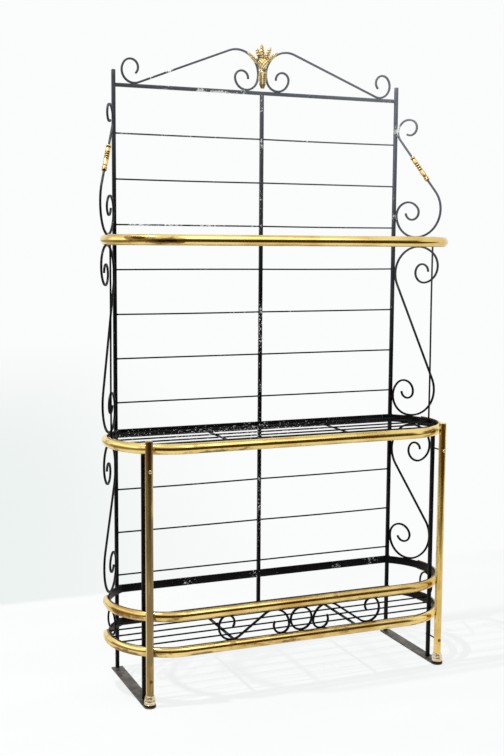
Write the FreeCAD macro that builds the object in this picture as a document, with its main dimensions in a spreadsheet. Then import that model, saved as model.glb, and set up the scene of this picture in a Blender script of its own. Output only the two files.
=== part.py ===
import FreeCAD, Part
import math
import os

import Sketcher

# A wrought-iron bakers rack with brass trim: a tall rear frame of square bar and
# round rods, three rod shelves and a low gallery inside D-shaped iron bands, a
# half-round brass rail around each band, brass tubes at the two front corners,
# and scrollwork of square bar at the sides, in the gallery and on the top bar.
#
# Millimetres, Z up.  X runs along the width, -Y is the front.  All sizes are in
# the spreadsheet; everything that seats on something else is placed from the
# same values.  The working zero in Y is the centre plane of the rear posts,
# moved by `shift` so that the origin lies under the middle of the footprint.

os.makedirs("parts", exist_ok=True)
doc = FreeCAD.newDocument("BakersRack")

SIZES = (
    ("post_size", 12.0, "square bar of the posts, top bar and centre upright"),
    ("post_spacing", 1080.0, "rear posts, centre to centre; the front posts line up"),
    ("post_height", 2071.0, "top of the rear posts above the floor"),
    ("post_rise", 50.0, "tips of the rear posts above the centre of the top bar"),
    ("rod_size", 5.0, "round rod of the back and the shelves"),
    ("rod_sides", 8, "facets round a rod, strut or bolt"),
    ("back_rod_drop", 159.0, "highest back rod below the centre of the top bar"),
    ("back_rod_pitch", 152.4, "back rods, one to the next"),
    ("back_rod_count", 11, "back rods"),
    ("band_thick", 4.5, "flat iron band of the rings"),
    ("band_height", 28.0, "width of that band, upright"),
    ("ring_reach", 376.0, "front face of the rings ahead of the rear post centres"),
    ("ring_bulge", 14.0, "outer radius of the round ends beyond half that reach"),
    ("ring_inset", 129.0, "centres of the round ends inside the post centres"),
    ("top_level", 1506.0, "centre of the top shelf ring"),
    ("middle_level", 842.0, "centre of the middle shelf ring"),
    ("gallery_level", 291.0, "centre of the gallery ring"),
    ("bottom_level", 172.0, "centre of the bottom shelf ring"),
    ("rail_height", 35.0, "half-round brass rail, its flat back"),
    ("rail_facets", 8, "facets of the half round"),
    ("rail_wrap", 16.0, "degrees the brass runs on behind the ring's widest point"),
    ("shelf_rod_first", 40.0, "rearmost shelf rod ahead of the rear post centres"),
    ("shelf_rod_last", 34.0, "front shelf rod behind the front of its ring"),
    ("shelf_rod_count", 6, "rods of each shelf"),
    ("shelf_rod_rise", 3.0, "shelf rods above the centre of their ring"),
    ("cross_bar_width", 12.0, "flat bars under the shelf rods"),
    ("cross_bar_thick", 3.0, "thickness of those bars"),
    ("cross_bar_spacing", 454.0, "those two bars, centre to centre"),
    ("foot_bar_width", 40.0, "flat foot bars"),
    ("foot_bar_thick", 5.0, "thickness of the foot bars"),
    ("tube_size", 25.4, "brass tubes, outside diameter"),
    ("tube_wall", 1.5, "wall of the tubes and of their caps"),
    ("tube_top", 874.0, "top of the tubes above the floor"),
    ("tube_gap", 7.5, "between the brass rails and the tubes"),
    ("shoe_height", 35.0, "cast brass shoe round the foot of a tube"),
    ("shoe_sides", 16, "facets of the shoe and the spindles"),
    ("shoe_fit", 0.2, "clearance of the tube in its shoe"),
    ("shoe_lip", 1.6, "wall of the shoe at its upper edge"),
    ("bolt_size", 5.0, "bolts that hold the tubes"),
    ("bolt_fit", 0.2, "clearance round a bolt"),
    ("bolt_head", 12.0, "diameter of the bolt heads"),
    ("bolt_head_rise", 3.6, "height of the bolt heads"),
    ("upper_bolt_level", 776.5, "upper bolts above the floor"),
    ("lower_bolt_level", 88.0, "lower bolts above the floor"),
    ("strut_size", 6.5, "thin round struts at the ring ends"),
    ("scroll_bar", 6.5, "square bar of the scrolls"),
    ("weld_gap", 0.15, "what a curved piece is left short of its seat"),
    ("upper_scroll_rise", 431.0, "upper side scrolls above the top band, bar centre"),
    ("gallery_ring_size", 84.0, "outside diameter of the gallery's centre ring"),
    ("gallery_scroll_reach", 300.0, "outer turn of the gallery scrolls, bar centre"),
    ("crest_inset", 29.0, "outer turn of the crest scrolls inside the post centres"),
    ("crest_gap", 30.0, "between the two crest scrolls, bar centres"),
    ("spindle_size", 18.5, "turned brass spindle, largest diameter"),
    ("spindle_length", 106.0, "length of the spindles"),
    ("spindle_drop", 15.0, "middle of the spindles below the middle of their straights"),
    ("spindle_fit", 0.2, "clearance of the bar in the spindle"),
    ("spindle_wall", 0.9, "wall of the spindle's necks at the bar's corners"),
    ("sheaf_height", 152.0, "cast wheat sheaf, tail to highest ear"),
    ("sheaf_drop", 10.0, "tail of the sheaf above the top bar"),
    ("sheaf_depth", 13.0, "thickness of the sheaf"),
    ("sheaf_spread", 52.0, "width of the straw where the ears begin"),
    ("end_curl_bar", 6.0, "square bar of the curls at the ring ends"),
)

# The curls of the scrolls, each from the scroll's straight to its tip: the radius
# of every arc, bar centre, and the heading in degrees at which that arc ends.
CURLS = {
    "upper_high": ((44.0, -28), (27.0, -212)),
    "upper_low": ((101.0, -189), (81.0, -266), (49.0, -415), (27.5, -622)),
    "middle_high": ((101.0, 20), (91.0, -42), (62.5, -169), (35.5, -315), (25.0, -456)),
    "middle_low": ((102.0, -188), (69.0, -315), (39.0, -460), (24.5, -628)),
    "lower_high": ((108.0, 46), (80.0, -33), (69.0, -152), (36.0, -315), (22.5, -452)),
    "lower_low": ((101.0, -155), (79.0, -277), (43.5, -428), (27.0, -611)),
    "crest_outer": ((43.0, 54), (27.0, -138)),
    "crest_inner": ((80.5, -110), (42.5, -264), (24.5, -458)),
}


def arc_alias(curl, number):
    """Name of one arc's radius in the spreadsheet."""
    return "%s_arc_%d" % (curl, number + 1)


rows = list(SIZES)
for curl, arcs in CURLS.items():
    for number, (radius, _) in enumerate(arcs):
        rows.append((arc_alias(curl, number), radius, "radius of an arc of the curl " + curl))

sheet = doc.addObject("Spreadsheet::Sheet", "Sizes")
for row, (alias, value, note) in enumerate(rows, start=1):
    sheet.set("A%d" % row, note)
    sheet.set("B%d" % row, str(value))
    sheet.setAlias("B%d" % row, alias)
doc.recompute()


def size(alias):
    """One value out of the spreadsheet."""
    return float(sheet.get(alias))


def vec(x, y, z=0.0):
    return FreeCAD.Vector(x, y, z)


# ---------------------------------------------------------------------------
# Values that several pieces share.

ARC_X = "(Sizes.post_spacing / 2 - Sizes.ring_inset)"
ARC_Y = "(Sizes.ring_bulge - Sizes.ring_reach / 2)"
RING_R = "(Sizes.ring_reach / 2 + Sizes.ring_bulge)"
# The tubes stand in front of the brass rails, centred on the posts in X.
TUBE_OUT = "(%s + Sizes.rail_height / 2 + Sizes.tube_gap + Sizes.tube_size / 2)" % RING_R
TUBE_REACH = "(sqrt(%s^2 - Sizes.ring_inset^2) - %s)" % (TUBE_OUT, ARC_Y)
SHIFT = "((%s + Sizes.foot_bar_width / 2 - Sizes.post_size / 2) / 2)" % TUBE_REACH
TOP_BAR = "(Sizes.post_height - Sizes.post_rise)"


def worked_out(expression):
    """The number that an expression on the spreadsheet gives."""
    return float(sheet.evalExpression(expression))


shift = worked_out(SHIFT)
top_bar_level = worked_out(TOP_BAR)
half_post = size("post_size") / 2
post_x = size("post_spacing") / 2
gap = size("weld_gap")
bar = size("scroll_bar")

# The rings: round ends about (+-arc_x, arc_y), straight front, straight rear bar.
arc_x = worked_out(ARC_X)
arc_y = worked_out(ARC_Y)
outer_r = worked_out(RING_R)
inner_r = outer_r - size("band_thick")
rear_back = -half_post
rear_front = rear_back - size("band_thick")
levels = {
    "top": size("top_level"),
    "middle": size("middle_level"),
    "gallery": size("gallery_level"),
    "bottom": size("bottom_level"),
}


def band_top(ring):
    return levels[ring] + size("band_height") / 2


def band_bottom(ring):
    return levels[ring] - size("band_height") / 2


def inner_face_x(y):
    """X of the ring's inner face in its round end, at a given Y."""
    return arc_x + math.sqrt(inner_r**2 - (y - arc_y) ** 2)


def inner_face_y(x):
    """Y of the ring's inner face in its round front corner, at a given X."""
    if abs(x) <= arc_x:
        return arc_y - inner_r
    return arc_y - math.sqrt(inner_r**2 - (abs(x) - arc_x) ** 2)


# ---------------------------------------------------------------------------
# Small helpers for the document's objects.


def plane(body, role):
    """One of the body's own origin planes."""
    for feature in body.Origin.OriginFeatures:
        if feature.Role == role:
            return feature
    raise ValueError("no %s in %s" % (role, body.Label))


def new_body(label):
    body = doc.addObject("PartDesign::Body", label)
    body.Label = label
    return body


def new_sketch(body, name, role="XY_Plane", offset=None):
    """A sketch on an origin plane; offset moves and turns it from that plane."""
    sketch = body.newObject("Sketcher::SketchObject", name)
    sketch.AttachmentSupport = (plane(body, role), [""])
    sketch.MapMode = "FlatFace"
    if offset is not None:
        sketch.AttachmentOffset = offset
    return sketch


def pad(body, sketch, name, length, midplane=False):
    """A pad whose length is an expression on the spreadsheet."""
    feature = body.newObject("PartDesign::Pad", name)
    feature.Profile = sketch
    feature.Midplane = midplane
    feature.setExpression("Length", length)
    body.Tip = feature
    return feature


def across(point, direction, up=None):
    """Placement of a section sketch at point, its normal along direction."""
    up = up or vec(0, 0, 1)
    side = up.cross(direction)
    return FreeCAD.Placement(point, FreeCAD.Rotation(side, up, direction, "ZYX"))


def line(sketch, start, end):
    return sketch.addGeometry(Part.LineSegment(vec(*start), vec(*end)), False)


def arc(sketch, centre, radius, start, end):
    """Counter-clockwise arc between two angles in degrees."""
    circle = Part.Circle(vec(*centre), vec(0, 0, 1), radius)
    turn = (math.radians(start), math.radians(end))
    return sketch.addGeometry(Part.ArcOfCircle(circle, *turn), False)


def closed_outline(sketch, points):
    """Straight closed outline through the points."""
    for start, end in zip(points, points[1:] + points[:1]):
        line(sketch, start, end)


def square_section(sketch, width):
    """A square about the sketch's origin, its width an expression."""
    corner = (-3.0, 3.0)
    points = [(corner[0], corner[0]), (corner[1], corner[0]), (corner[1], corner[1]), (corner[0], corner[1])]
    first = len(sketch.Geometry)
    closed_outline(sketch, points)
    for side in range(4):
        following = first + (side + 1) % 4
        sketch.addConstraint(Sketcher.Constraint("Coincident", first + side, 2, following, 1))
    for side, kind in enumerate(("Horizontal", "Vertical", "Horizontal", "Vertical")):
        sketch.addConstraint(Sketcher.Constraint(kind, first + side))
    sketch.addConstraint(Sketcher.Constraint("Equal", first, first + 1))
    sketch.addConstraint(Sketcher.Constraint("Symmetric", first, 1, first + 1, 2, -1, 1))
    across_flats = sketch.addConstraint(
        Sketcher.Constraint("DistanceX", first, 1, first, 2, corner[1] - corner[0])
    )
    sketch.renameConstraint(across_flats, "across_flats")
    sketch.setExpression("Constraints.across_flats", width)


def circle_section(sketch, diameter, guess=5.0, name="across", centre=(0.0, 0.0)):
    """A circle, its diameter an expression."""
    circle = sketch.addGeometry(Part.Circle(vec(*centre), vec(0, 0, 1), guess / 2), False)
    if centre == (0.0, 0.0):
        sketch.addConstraint(Sketcher.Constraint("Coincident", circle, 3, -1, 1))
    constraint = sketch.addConstraint(Sketcher.Constraint("Diameter", circle, guess))
    sketch.renameConstraint(constraint, name)
    sketch.setExpression("Constraints." + name, diameter)


def sweep(body, section, path, name="Sweep"):
    """Carry the section along every edge of the path sketch."""
    doc.recompute()
    feature = body.newObject("PartDesign::AdditivePipe", name)
    feature.Profile = section
    edges = ["Edge%d" % (index + 1) for index in range(len(path.Shape.Edges))]
    feature.Spine = (path, edges)
    body.Tip = feature
    return feature


def block(label, length, width, height, x, y, z):
    """A box from one corner; every argument is an expression."""
    box = doc.addObject("Part::Box", label)
    box.Label = label
    for name, value in (("Length", length), ("Width", width), ("Height", height)):
        box.setExpression(name, value)
    for name, value in (("x", x), ("y", y), ("z", z)):
        box.setExpression("Placement.Base." + name, value)
    return box


def facetted(sections):
    """Solid of flat facets through closed sections of the same number of points."""
    faces = [Part.Face(Part.makePolygon(end + end[:1])) for end in (sections[0], sections[-1])]
    for low, high in zip(sections, sections[1:]):
        count = len(low)
        for index in range(count):
            after = (index + 1) % count
            for corners in (
                (low[index], low[after], high[after]),
                (low[index], high[after], high[index]),
            ):
                faces.append(Part.Face(Part.makePolygon(list(corners) + [corners[0]])))
    return Part.Solid(Part.Shell(faces)).removeSplitter()


def many_sided(rows, sides):
    """Facetted solid about Z from (height, radius, notch) rows; a notch draws
    every second corner in, which gives the sides their lobes."""
    sections = []
    for height, radius, notch in rows:
        corners = []
        for number in range(sides):
            turn = 2 * math.pi * number / sides
            reach = radius - (notch if number % 2 else 0.0)
            corners.append(vec(reach * math.cos(turn), reach * math.sin(turn), height))
        sections.append(corners)
    return facetted(sections)


def feature(label, shape, placement):
    """A piece whose shape is worked out from the sheet's values."""
    item = doc.addObject("Part::Feature", label)
    item.Label = label
    item.Shape = shape
    item.Placement = placement
    return item


SIDES = (("left", -1), ("right", 1))

# ---------------------------------------------------------------------------
# Rear frame.

for side, sign in SIDES:
    block(
        "rear_post_" + side,
        "Sizes.post_size",
        "Sizes.post_size",
        "Sizes.post_height - Sizes.foot_bar_thick",
        "%d * Sizes.post_spacing / 2 - Sizes.post_size / 2" % sign,
        SHIFT + " - Sizes.post_size / 2",
        "Sizes.foot_bar_thick",
    )

block(
    "top_bar",
    "Sizes.post_spacing - Sizes.post_size",
    "Sizes.post_size",
    "Sizes.post_size",
    "-(Sizes.post_spacing - Sizes.post_size) / 2",
    SHIFT + " - Sizes.post_size / 2",
    TOP_BAR + " - Sizes.post_size / 2",
)

block(
    "centre_upright",
    "Sizes.post_size",
    "Sizes.post_size",
    TOP_BAR + " - Sizes.post_size / 2 - Sizes.bottom_level + Sizes.band_height / 2",
    "-Sizes.post_size / 2",
    SHIFT + " - Sizes.post_size / 2",
    "Sizes.bottom_level - Sizes.band_height / 2",
)


def round_bar(label, width, length, placement):
    """A round bar as a many-sided prism; width and length are expressions."""
    prism = doc.addObject("Part::Prism", label)
    prism.Label = label
    prism.setExpression("Polygon", "Sizes.rod_sides")
    prism.setExpression("Circumradius", "(%s) / 2" % width)
    prism.setExpression("Height", length)
    prism.Placement = placement
    return prism


def group(label, members):
    """Several solids of one kind under one name."""
    compound = doc.addObject("Part::Compound", label)
    compound.Label = label
    compound.Links = members
    return compound


LYING = FreeCAD.Rotation(vec(0, 1, 0), 90)

# The back rods butt against the posts and the upright, one length on each side.
for side, sign in SIDES:
    rods = []
    for number in range(int(size("back_rod_count"))):
        rod = round_bar(
            "back_rod_%s_%02d" % (side, number + 1),
            "Sizes.rod_size",
            "(Sizes.post_spacing - 2 * Sizes.post_size) / 2",
            FreeCAD.Placement(vec(0, 0, 0), LYING),
        )
        rod.setExpression(
            "Placement.Base.x",
            "Sizes.post_size / 2" if sign > 0 else "-(Sizes.post_spacing - Sizes.post_size) / 2",
        )
        rod.setExpression("Placement.Base.y", SHIFT)
        drop = "Sizes.back_rod_drop - %d * Sizes.back_rod_pitch" % number
        rod.setExpression("Placement.Base.z", TOP_BAR + " - " + drop)
        rods.append(rod)
    group("back_rods_" + side, rods)

# ---------------------------------------------------------------------------
# Rings: one closed band each, its round ends running into the straight rear bar.

tail = post_x + half_post
outer_meet = math.degrees(math.asin((rear_front - arc_y) / outer_r))
inner_meet = math.degrees(math.asin((rear_front - arc_y) / inner_r))


def on_circle(radius, degrees, sign=1):
    """Point on a round end at an angle; sign -1 gives the left end."""
    turn = math.radians(degrees)
    return (sign * (arc_x + radius * math.cos(turn)), arc_y + radius * math.sin(turn))


for ring, alias in (
    ("top_shelf", "top_level"),
    ("middle_shelf", "middle_level"),
    ("gallery", "gallery_level"),
    ("bottom_shelf", "bottom_level"),
):
    body = new_body(ring + "_band")
    body.setExpression("Placement.Base.y", SHIFT)
    body.setExpression("Placement.Base.z", "Sizes." + alias)
    plan = new_sketch(body, "RingPlan_" + ring)
    line(plan, (-arc_x, arc_y - outer_r), (arc_x, arc_y - outer_r))
    arc(plan, (arc_x, arc_y), outer_r, -90, outer_meet)
    line(plan, on_circle(outer_r, outer_meet), (tail, rear_front))
    line(plan, (tail, rear_front), (tail, rear_back))
    line(plan, (tail, rear_back), (-tail, rear_back))
    line(plan, (-tail, rear_back), (-tail, rear_front))
    line(plan, (-tail, rear_front), on_circle(outer_r, outer_meet, -1))
    arc(plan, (-arc_x, arc_y), outer_r, 180 - outer_meet, 270)
    line(plan, (-arc_x, arc_y - inner_r), (arc_x, arc_y - inner_r))
    arc(plan, (arc_x, arc_y), inner_r, -90, inner_meet)
    line(plan, on_circle(inner_r, inner_meet), on_circle(inner_r, inner_meet, -1))
    arc(plan, (-arc_x, arc_y), inner_r, 180 - inner_meet, 270)
    pad(body, plan, "RingBand_" + ring, "Sizes.band_height", midplane=True)

# ---------------------------------------------------------------------------
# Half-round brass rails, flat back on the band, from one end round to the other.

wrap = size("rail_wrap")
for ring, alias in (
    ("top", "top_level"),
    ("middle", "middle_level"),
    ("gallery", "gallery_level"),
    ("bottom", "bottom_level"),
):
    body = new_body(ring + "_brass_rail")
    body.setExpression("Placement.Base.y", SHIFT)
    body.setExpression("Placement.Base.z", "Sizes." + alias)
    path = new_sketch(body, "RailPath_" + ring)
    arc(path, (arc_x, arc_y), outer_r, -90, wrap)
    line(path, (arc_x, arc_y - outer_r), (-arc_x, arc_y - outer_r))
    arc(path, (-arc_x, arc_y), outer_r, 180 - wrap, 270)
    start = vec(*on_circle(outer_r, wrap))
    turn = math.radians(wrap)
    section = new_sketch(
        body,
        "RailSection_" + ring,
        offset=across(start, vec(math.sin(turn), -math.cos(turn))),
    )
    # The sketch's X axis points towards the arc's centre or away from it; the
    # rail bulges away.
    outward = vec(math.cos(turn), math.sin(turn))
    side_axis = vec(0, 0, 1).cross(vec(math.sin(turn), -math.cos(turn)))
    bulge = 1 if side_axis.dot(outward) > 0 else -1
    radius = size("rail_height") / 2
    facets = int(size("rail_facets"))
    rim = []
    for number in range(facets + 1):
        angle = math.pi * (number / facets - 0.5)
        rim.append((bulge * radius * math.cos(angle), radius * math.sin(angle)))
    rim[0] = (0.0, -radius)
    rim[-1] = (0.0, radius)
    closed_outline(section, rim)
    sweep(body, section, path, "RailSweep_" + ring)

# ---------------------------------------------------------------------------
# Shelves: round rods across each ring and two flat bars under them.

rod_r = size("rod_size") / 2
rod_span = size("ring_reach") - size("shelf_rod_first") - size("shelf_rod_last")
rod_pitch = rod_span / (size("shelf_rod_count") - 1)
for shelf in ("top", "middle", "bottom"):
    level = "Sizes.%s_level + Sizes.shelf_rod_rise" % shelf
    rods = []
    for number in range(int(size("shelf_rod_count"))):
        y = -(size("shelf_rod_first") + number * rod_pitch)
        widest = max(abs(y - rod_r - arc_y), abs(y + rod_r - arc_y))
        reach = inner_face_x(arc_y + widest) - gap
        rod = round_bar(
            "%s_rod_%d" % (shelf, number + 1),
            "Sizes.rod_size",
            "%r" % (2 * reach),
            FreeCAD.Placement(vec(-reach, y + shift, 0), LYING),
        )
        rod.setExpression("Placement.Base.z", level)
        rods.append(rod)
    group(shelf + "_shelf_rods", rods)
    bars = []
    for side, sign in SIDES:
        bars.append(
            block(
                "%s_cross_bar_%s" % (shelf, side),
                "Sizes.cross_bar_width",
                "Sizes.ring_reach - 2 * Sizes.band_thick - Sizes.post_size / 2",
                "Sizes.cross_bar_thick",
                "%d * Sizes.cross_bar_spacing / 2 - Sizes.cross_bar_width / 2" % sign,
                SHIFT + " - Sizes.ring_reach + Sizes.band_thick",
                level + " - Sizes.rod_size / 2 - Sizes.cross_bar_thick",
            )
        )
    group(shelf + "_cross_bars", bars)

# ---------------------------------------------------------------------------
# Front corners: foot bars, front posts, brass tubes in their shoes, bolts.

# The front posts stand inside the bands, each with one corner on the band.
corner_x = post_x + half_post
front_post_y = inner_face_y(corner_x) + gap + half_post
tube_y = -worked_out(TUBE_REACH)
tube_r = size("tube_size") / 2
bolt_r = size("bolt_size") / 2
bolt_levels = (size("upper_bolt_level"), size("lower_bolt_level"))


def tool_rod(name, width, length, start):
    """A plain tool for drilling from start towards the front."""
    turn = FreeCAD.Rotation(vec(0, 0, 1), vec(0, -1, 0))
    return round_bar(name, width, length, FreeCAD.Placement(start, turn))


def cut(label, base, tools):
    """base less all the tools, under the piece's own label."""
    for number, tool in enumerate(tools):
        last = number == len(tools) - 1
        result = doc.addObject("Part::Cut", label if last else "%s_cut_%d" % (label, number))
        result.Label = result.Name
        result.Base = base
        result.Tool = tool
        base = result
    return base


for side, sign in SIDES:
    # Foot bar with a round front end.
    foot = new_body("foot_bar_" + side)
    foot.setExpression("Placement.Base.x", "%d * Sizes.post_spacing / 2" % sign)
    foot.setExpression("Placement.Base.y", SHIFT)
    outline = new_sketch(foot, "FootPlan_" + side)
    half_foot = size("foot_bar_width") / 2
    line(outline, (-half_foot, tube_y), (-half_foot, half_post))
    line(outline, (-half_foot, half_post), (half_foot, half_post))
    line(outline, (half_foot, half_post), (half_foot, tube_y))
    arc(outline, (0, tube_y), half_foot, 180, 360)
    pad(foot, outline, "FootPlate_" + side, "Sizes.foot_bar_thick")

    # Front post, drilled for its two bolts.
    solid_post = block(
        "front_post_bar_" + side,
        "Sizes.post_size",
        "Sizes.post_size",
        "Sizes.middle_level + Sizes.band_height / 2 - Sizes.foot_bar_thick",
        "%d * Sizes.post_spacing / 2 - Sizes.post_size / 2" % sign,
        "0",
        "Sizes.foot_bar_thick",
    )
    solid_post.setExpression("Placement.Base.y", None)
    solid_post.Placement.Base.y = shift + front_post_y - half_post
    tools = []
    for number, level in enumerate(bolt_levels):
        tools.append(
            tool_rod(
                "post_drill_%s_%d" % (side, number),
                "Sizes.bolt_size + 2 * Sizes.bolt_fit",
                "Sizes.post_size * 2",
                vec(sign * post_x, shift + front_post_y + size("post_size"), level),
            )
        )
    cut("front_post_" + side, solid_post, tools)

    # Brass tube, closed at the top, drilled right through for the same bolts.
    tube = new_body("tube_blank_" + side)
    tube.setExpression("Placement.Base.x", "%d * Sizes.post_spacing / 2" % sign)
    tube.setExpression("Placement.Base.y", SHIFT + " - " + TUBE_REACH)
    tube.setExpression("Placement.Base.z", "Sizes.foot_bar_thick")
    ring_sketch = new_sketch(tube, "TubeSection_" + side)
    circle_section(ring_sketch, "Sizes.tube_size", 25.0, "outside")
    circle_section(ring_sketch, "Sizes.tube_size - 2 * Sizes.tube_wall", 22.0, "inside")
    pad(tube, ring_sketch, "TubeWall_" + side, "Sizes.tube_top - Sizes.foot_bar_thick - Sizes.tube_wall")
    cap_sketch = new_sketch(tube, "TubeCap_" + side)
    cap_sketch.setExpression(
        "AttachmentOffset.Base.z", "Sizes.tube_top - Sizes.foot_bar_thick - Sizes.tube_wall"
    )
    circle_section(cap_sketch, "Sizes.tube_size", 25.0, "outside")
    pad(tube, cap_sketch, "TubeEnd_" + side, "Sizes.tube_wall")
    tools = []
    for number, level in enumerate(bolt_levels):
        tools.append(
            tool_rod(
                "tube_drill_%s_%d" % (side, number),
                "Sizes.bolt_size + 2 * Sizes.bolt_fit",
                "Sizes.tube_size * 2",
                vec(sign * post_x, shift + tube_y + size("tube_size"), level),
            )
        )
    cut("brass_tube_" + side, tube, tools)

    # Cast shoe: a base ring, a neck and a leafy flare that narrows to the tube.
    bore = tube_r + size("shoe_fit")
    base_r = size("foot_bar_width") / 2
    tall = size("shoe_height")
    casting = many_sided(
        (
            (0.0, base_r, 0.0),
            (tall * 0.20, base_r, 0.0),
            (tall * 0.32, base_r * 0.83, 0.0),
            (tall * 0.46, base_r * 0.96, base_r * 0.07),
            (tall * 0.70, base_r * 0.91, base_r * 0.11),
            (tall, bore + size("shoe_lip"), base_r * 0.025),
        ),
        int(size("shoe_sides")),
    )
    casting = casting.cut(Part.makeCylinder(bore, tall * 2, vec(0, 0, -tall / 2)))
    feature(
        "brass_foot_" + side,
        casting,
        FreeCAD.Placement(
            vec(sign * post_x, shift + tube_y, size("foot_bar_thick")), FreeCAD.Rotation()
        ),
    )

# Bolts from the front of each tube through the front post, with nuts behind.
head_y = tube_y - tube_r - gap
nut_y = front_post_y + half_post
tip_y = nut_y + size("bolt_size")
BACKWARD = FreeCAD.Rotation(vec(0, 0, 1), vec(0, 1, 0))
bolts = []
nuts = []
for side, sign in SIDES:
    for number, level in enumerate(bolt_levels):
        mark = "%s_%d" % (side, number)
        shank = round_bar(
            "bolt_shank_" + mark,
            "Sizes.bolt_size",
            "%r" % (tip_y - head_y),
            FreeCAD.Placement(vec(sign * post_x, shift + head_y, level), BACKWARD),
        )
        head = round_bar(
            "bolt_head_" + mark,
            "Sizes.bolt_head",
            "Sizes.bolt_head_rise",
            FreeCAD.Placement(
                vec(sign * post_x, shift + head_y - size("bolt_head_rise"), level), BACKWARD
            ),
        )
        bolt = doc.addObject("Part::MultiFuse", "bolt_" + mark)
        bolt.Shapes = [shank, head]
        bolts.append(bolt)
        blank = doc.addObject("Part::Prism", "nut_blank_" + mark)
        blank.Polygon = 6
        blank.setExpression("Circumradius", "Sizes.bolt_size")
        blank.setExpression("Height", "Sizes.bolt_size * 0.8")
        blank.Placement = FreeCAD.Placement(vec(sign * post_x, shift + nut_y, level), BACKWARD)
        tap = tool_rod(
            "nut_tap_" + mark,
            "Sizes.bolt_size + 2 * Sizes.bolt_fit",
            "Sizes.bolt_size * 3",
            vec(sign * post_x, shift + nut_y + 2 * size("bolt_size"), level),
        )
        nuts.append(cut("nut_" + mark, blank, [tap]))
group("post_bolts", bolts)
group("post_nuts", nuts)

# Thin struts inside the ring ends, from the middle ring up to the top ring.
for side, sign in SIDES:
    strut = round_bar(
        "side_strut_" + side,
        "Sizes.strut_size",
        "Sizes.top_level - Sizes.middle_level + Sizes.band_height",
        FreeCAD.Placement(),
    )
    strut.setExpression(
        "Placement.Base.x",
        "%d * (%s + %s - Sizes.band_thick - Sizes.strut_size / 2 - Sizes.weld_gap)"
        % (sign, ARC_X, RING_R),
    )
    strut.setExpression("Placement.Base.y", SHIFT + " + " + ARC_Y)
    strut.setExpression("Placement.Base.z", "Sizes.middle_level - Sizes.band_height / 2")

# ---------------------------------------------------------------------------
# Scrolls.  A scroll is two curls joined by a straight that is tangent to both.
# Each curl is listed from the straight to its tip as (radius, heading where the
# arc ends), always turning clockwise, so each arc is tangent to the next.
# Heading 0 runs along +x in the scroll's plane and 90 runs up.


def normal(heading):
    """Unit vector from a clockwise arc's centre to its point at that heading."""
    turn = math.radians(heading)
    return (-math.sin(turn), math.cos(turn))


class Curl:
    """Arcs of one curl, placed by where its outermost turn has to seat."""

    def __init__(self, arcs, across_seat, level_seat):
        # A seat is (arc number, direction, where): that arc's extreme point in
        # that direction of the axis lies there.
        self.arcs = arcs
        self.centres = [(0.0, 0.0)]
        for (radius, heading), (following, _) in zip(arcs, arcs[1:]):
            x, z = self.centres[-1]
            nx, nz = normal(heading)
            self.centres.append((x + (radius - following) * nx, z + (radius - following) * nz))
        number, direction, where = across_seat
        move_x = where - direction * arcs[number][0] - self.centres[number][0]
        number, direction, where = level_seat
        move_z = where - direction * arcs[number][0] - self.centres[number][1]
        self.centres = [(x + move_x, z + move_z) for x, z in self.centres]

    @classmethod
    def listed(cls, name, across_seat, level_seat):
        """The curl of that name in CURLS, its radii out of the spreadsheet."""
        arcs = []
        for number, (_, heading) in enumerate(CURLS[name]):
            arcs.append((size(arc_alias(name, number)), heading))
        return cls(arcs, across_seat, level_seat)

    def runs(self, heading):
        """(centre, radius, heading in, heading out) of each arc."""
        result = []
        for centre, (radius, leaving) in zip(self.centres, self.arcs):
            result.append((centre, radius, heading, leaving))
            heading = leaving
        return result


def joining_heading(first, second):
    """Heading of the straight from the first curl to the second."""
    (x1, z1), r1 = first.centres[0], first.arcs[0][0]
    (x2, z2), r2 = second.centres[0], second.arcs[0][0]
    apart = math.hypot(x2 - x1, z2 - z1)
    return math.degrees(math.atan2(z2 - z1, x2 - x1) + math.asin((r1 + r2) / apart))


def scroll_path(sketch, first, second):
    """Draw the scroll; returns its first point and direction, and the straight."""
    heading = joining_heading(first, second)
    first_runs = first.runs(heading + 180)
    second_runs = second.runs(heading)
    points = []
    for (x, z), radius, entering, leaving in reversed(first_runs):
        arc(sketch, (x, z), radius, leaving + 90, entering + 90)
    for (x, z), radius, entering, leaving in (first_runs[0], second_runs[0]):
        nx, nz = normal(entering)
        points.append((x + radius * nx, z + radius * nz))
    line(sketch, points[0], points[1])
    for (x, z), radius, entering, leaving in second_runs:
        arc(sketch, (x, z), radius, leaving + 90, entering + 90)
    (x, z), radius, _, leaving = first_runs[-1]
    nx, nz = normal(leaving)
    turn = math.radians(leaving + 180)
    start = vec(x + radius * nx, z + radius * nz)
    return start, vec(math.cos(turn), math.sin(turn)), points


def upright_plane(foot_point, along):
    """Placement of a body whose X runs along a level direction and Y runs up."""
    up = vec(0, 0, 1)
    return FreeCAD.Placement(foot_point, FreeCAD.Rotation(along, up, along.cross(up), "YXZ"))


def scroll(label, first, second, placement, width="Sizes.scroll_bar"):
    """A scroll of square bar; returns its body and the two ends of its straight."""
    body = new_body(label)
    path = new_sketch(body, "Path_" + label)
    start, direction, straight = scroll_path(path, first, second)
    section = new_sketch(body, "Section_" + label, offset=across(start, direction))
    square_section(section, width)
    sweep(body, section, path, "Bent_" + label)
    body.Placement = placement
    return body, straight


# Side scrolls stand in an upright plane through the centre of the rear post and
# tangent to the inner face of the bands, so they sit on the bands' edges.
to_arc = math.hypot(post_x - arc_x, arc_y)
side_angle = math.atan2(-arc_y, post_x - arc_x) - math.acos(inner_r / to_arc)
# The bar's flat meets the nearest corner of the post.
post_seat = bar / 2 + gap + half_post * (math.sin(side_angle) + math.cos(side_angle))
seat = bar / 2 + gap


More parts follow.
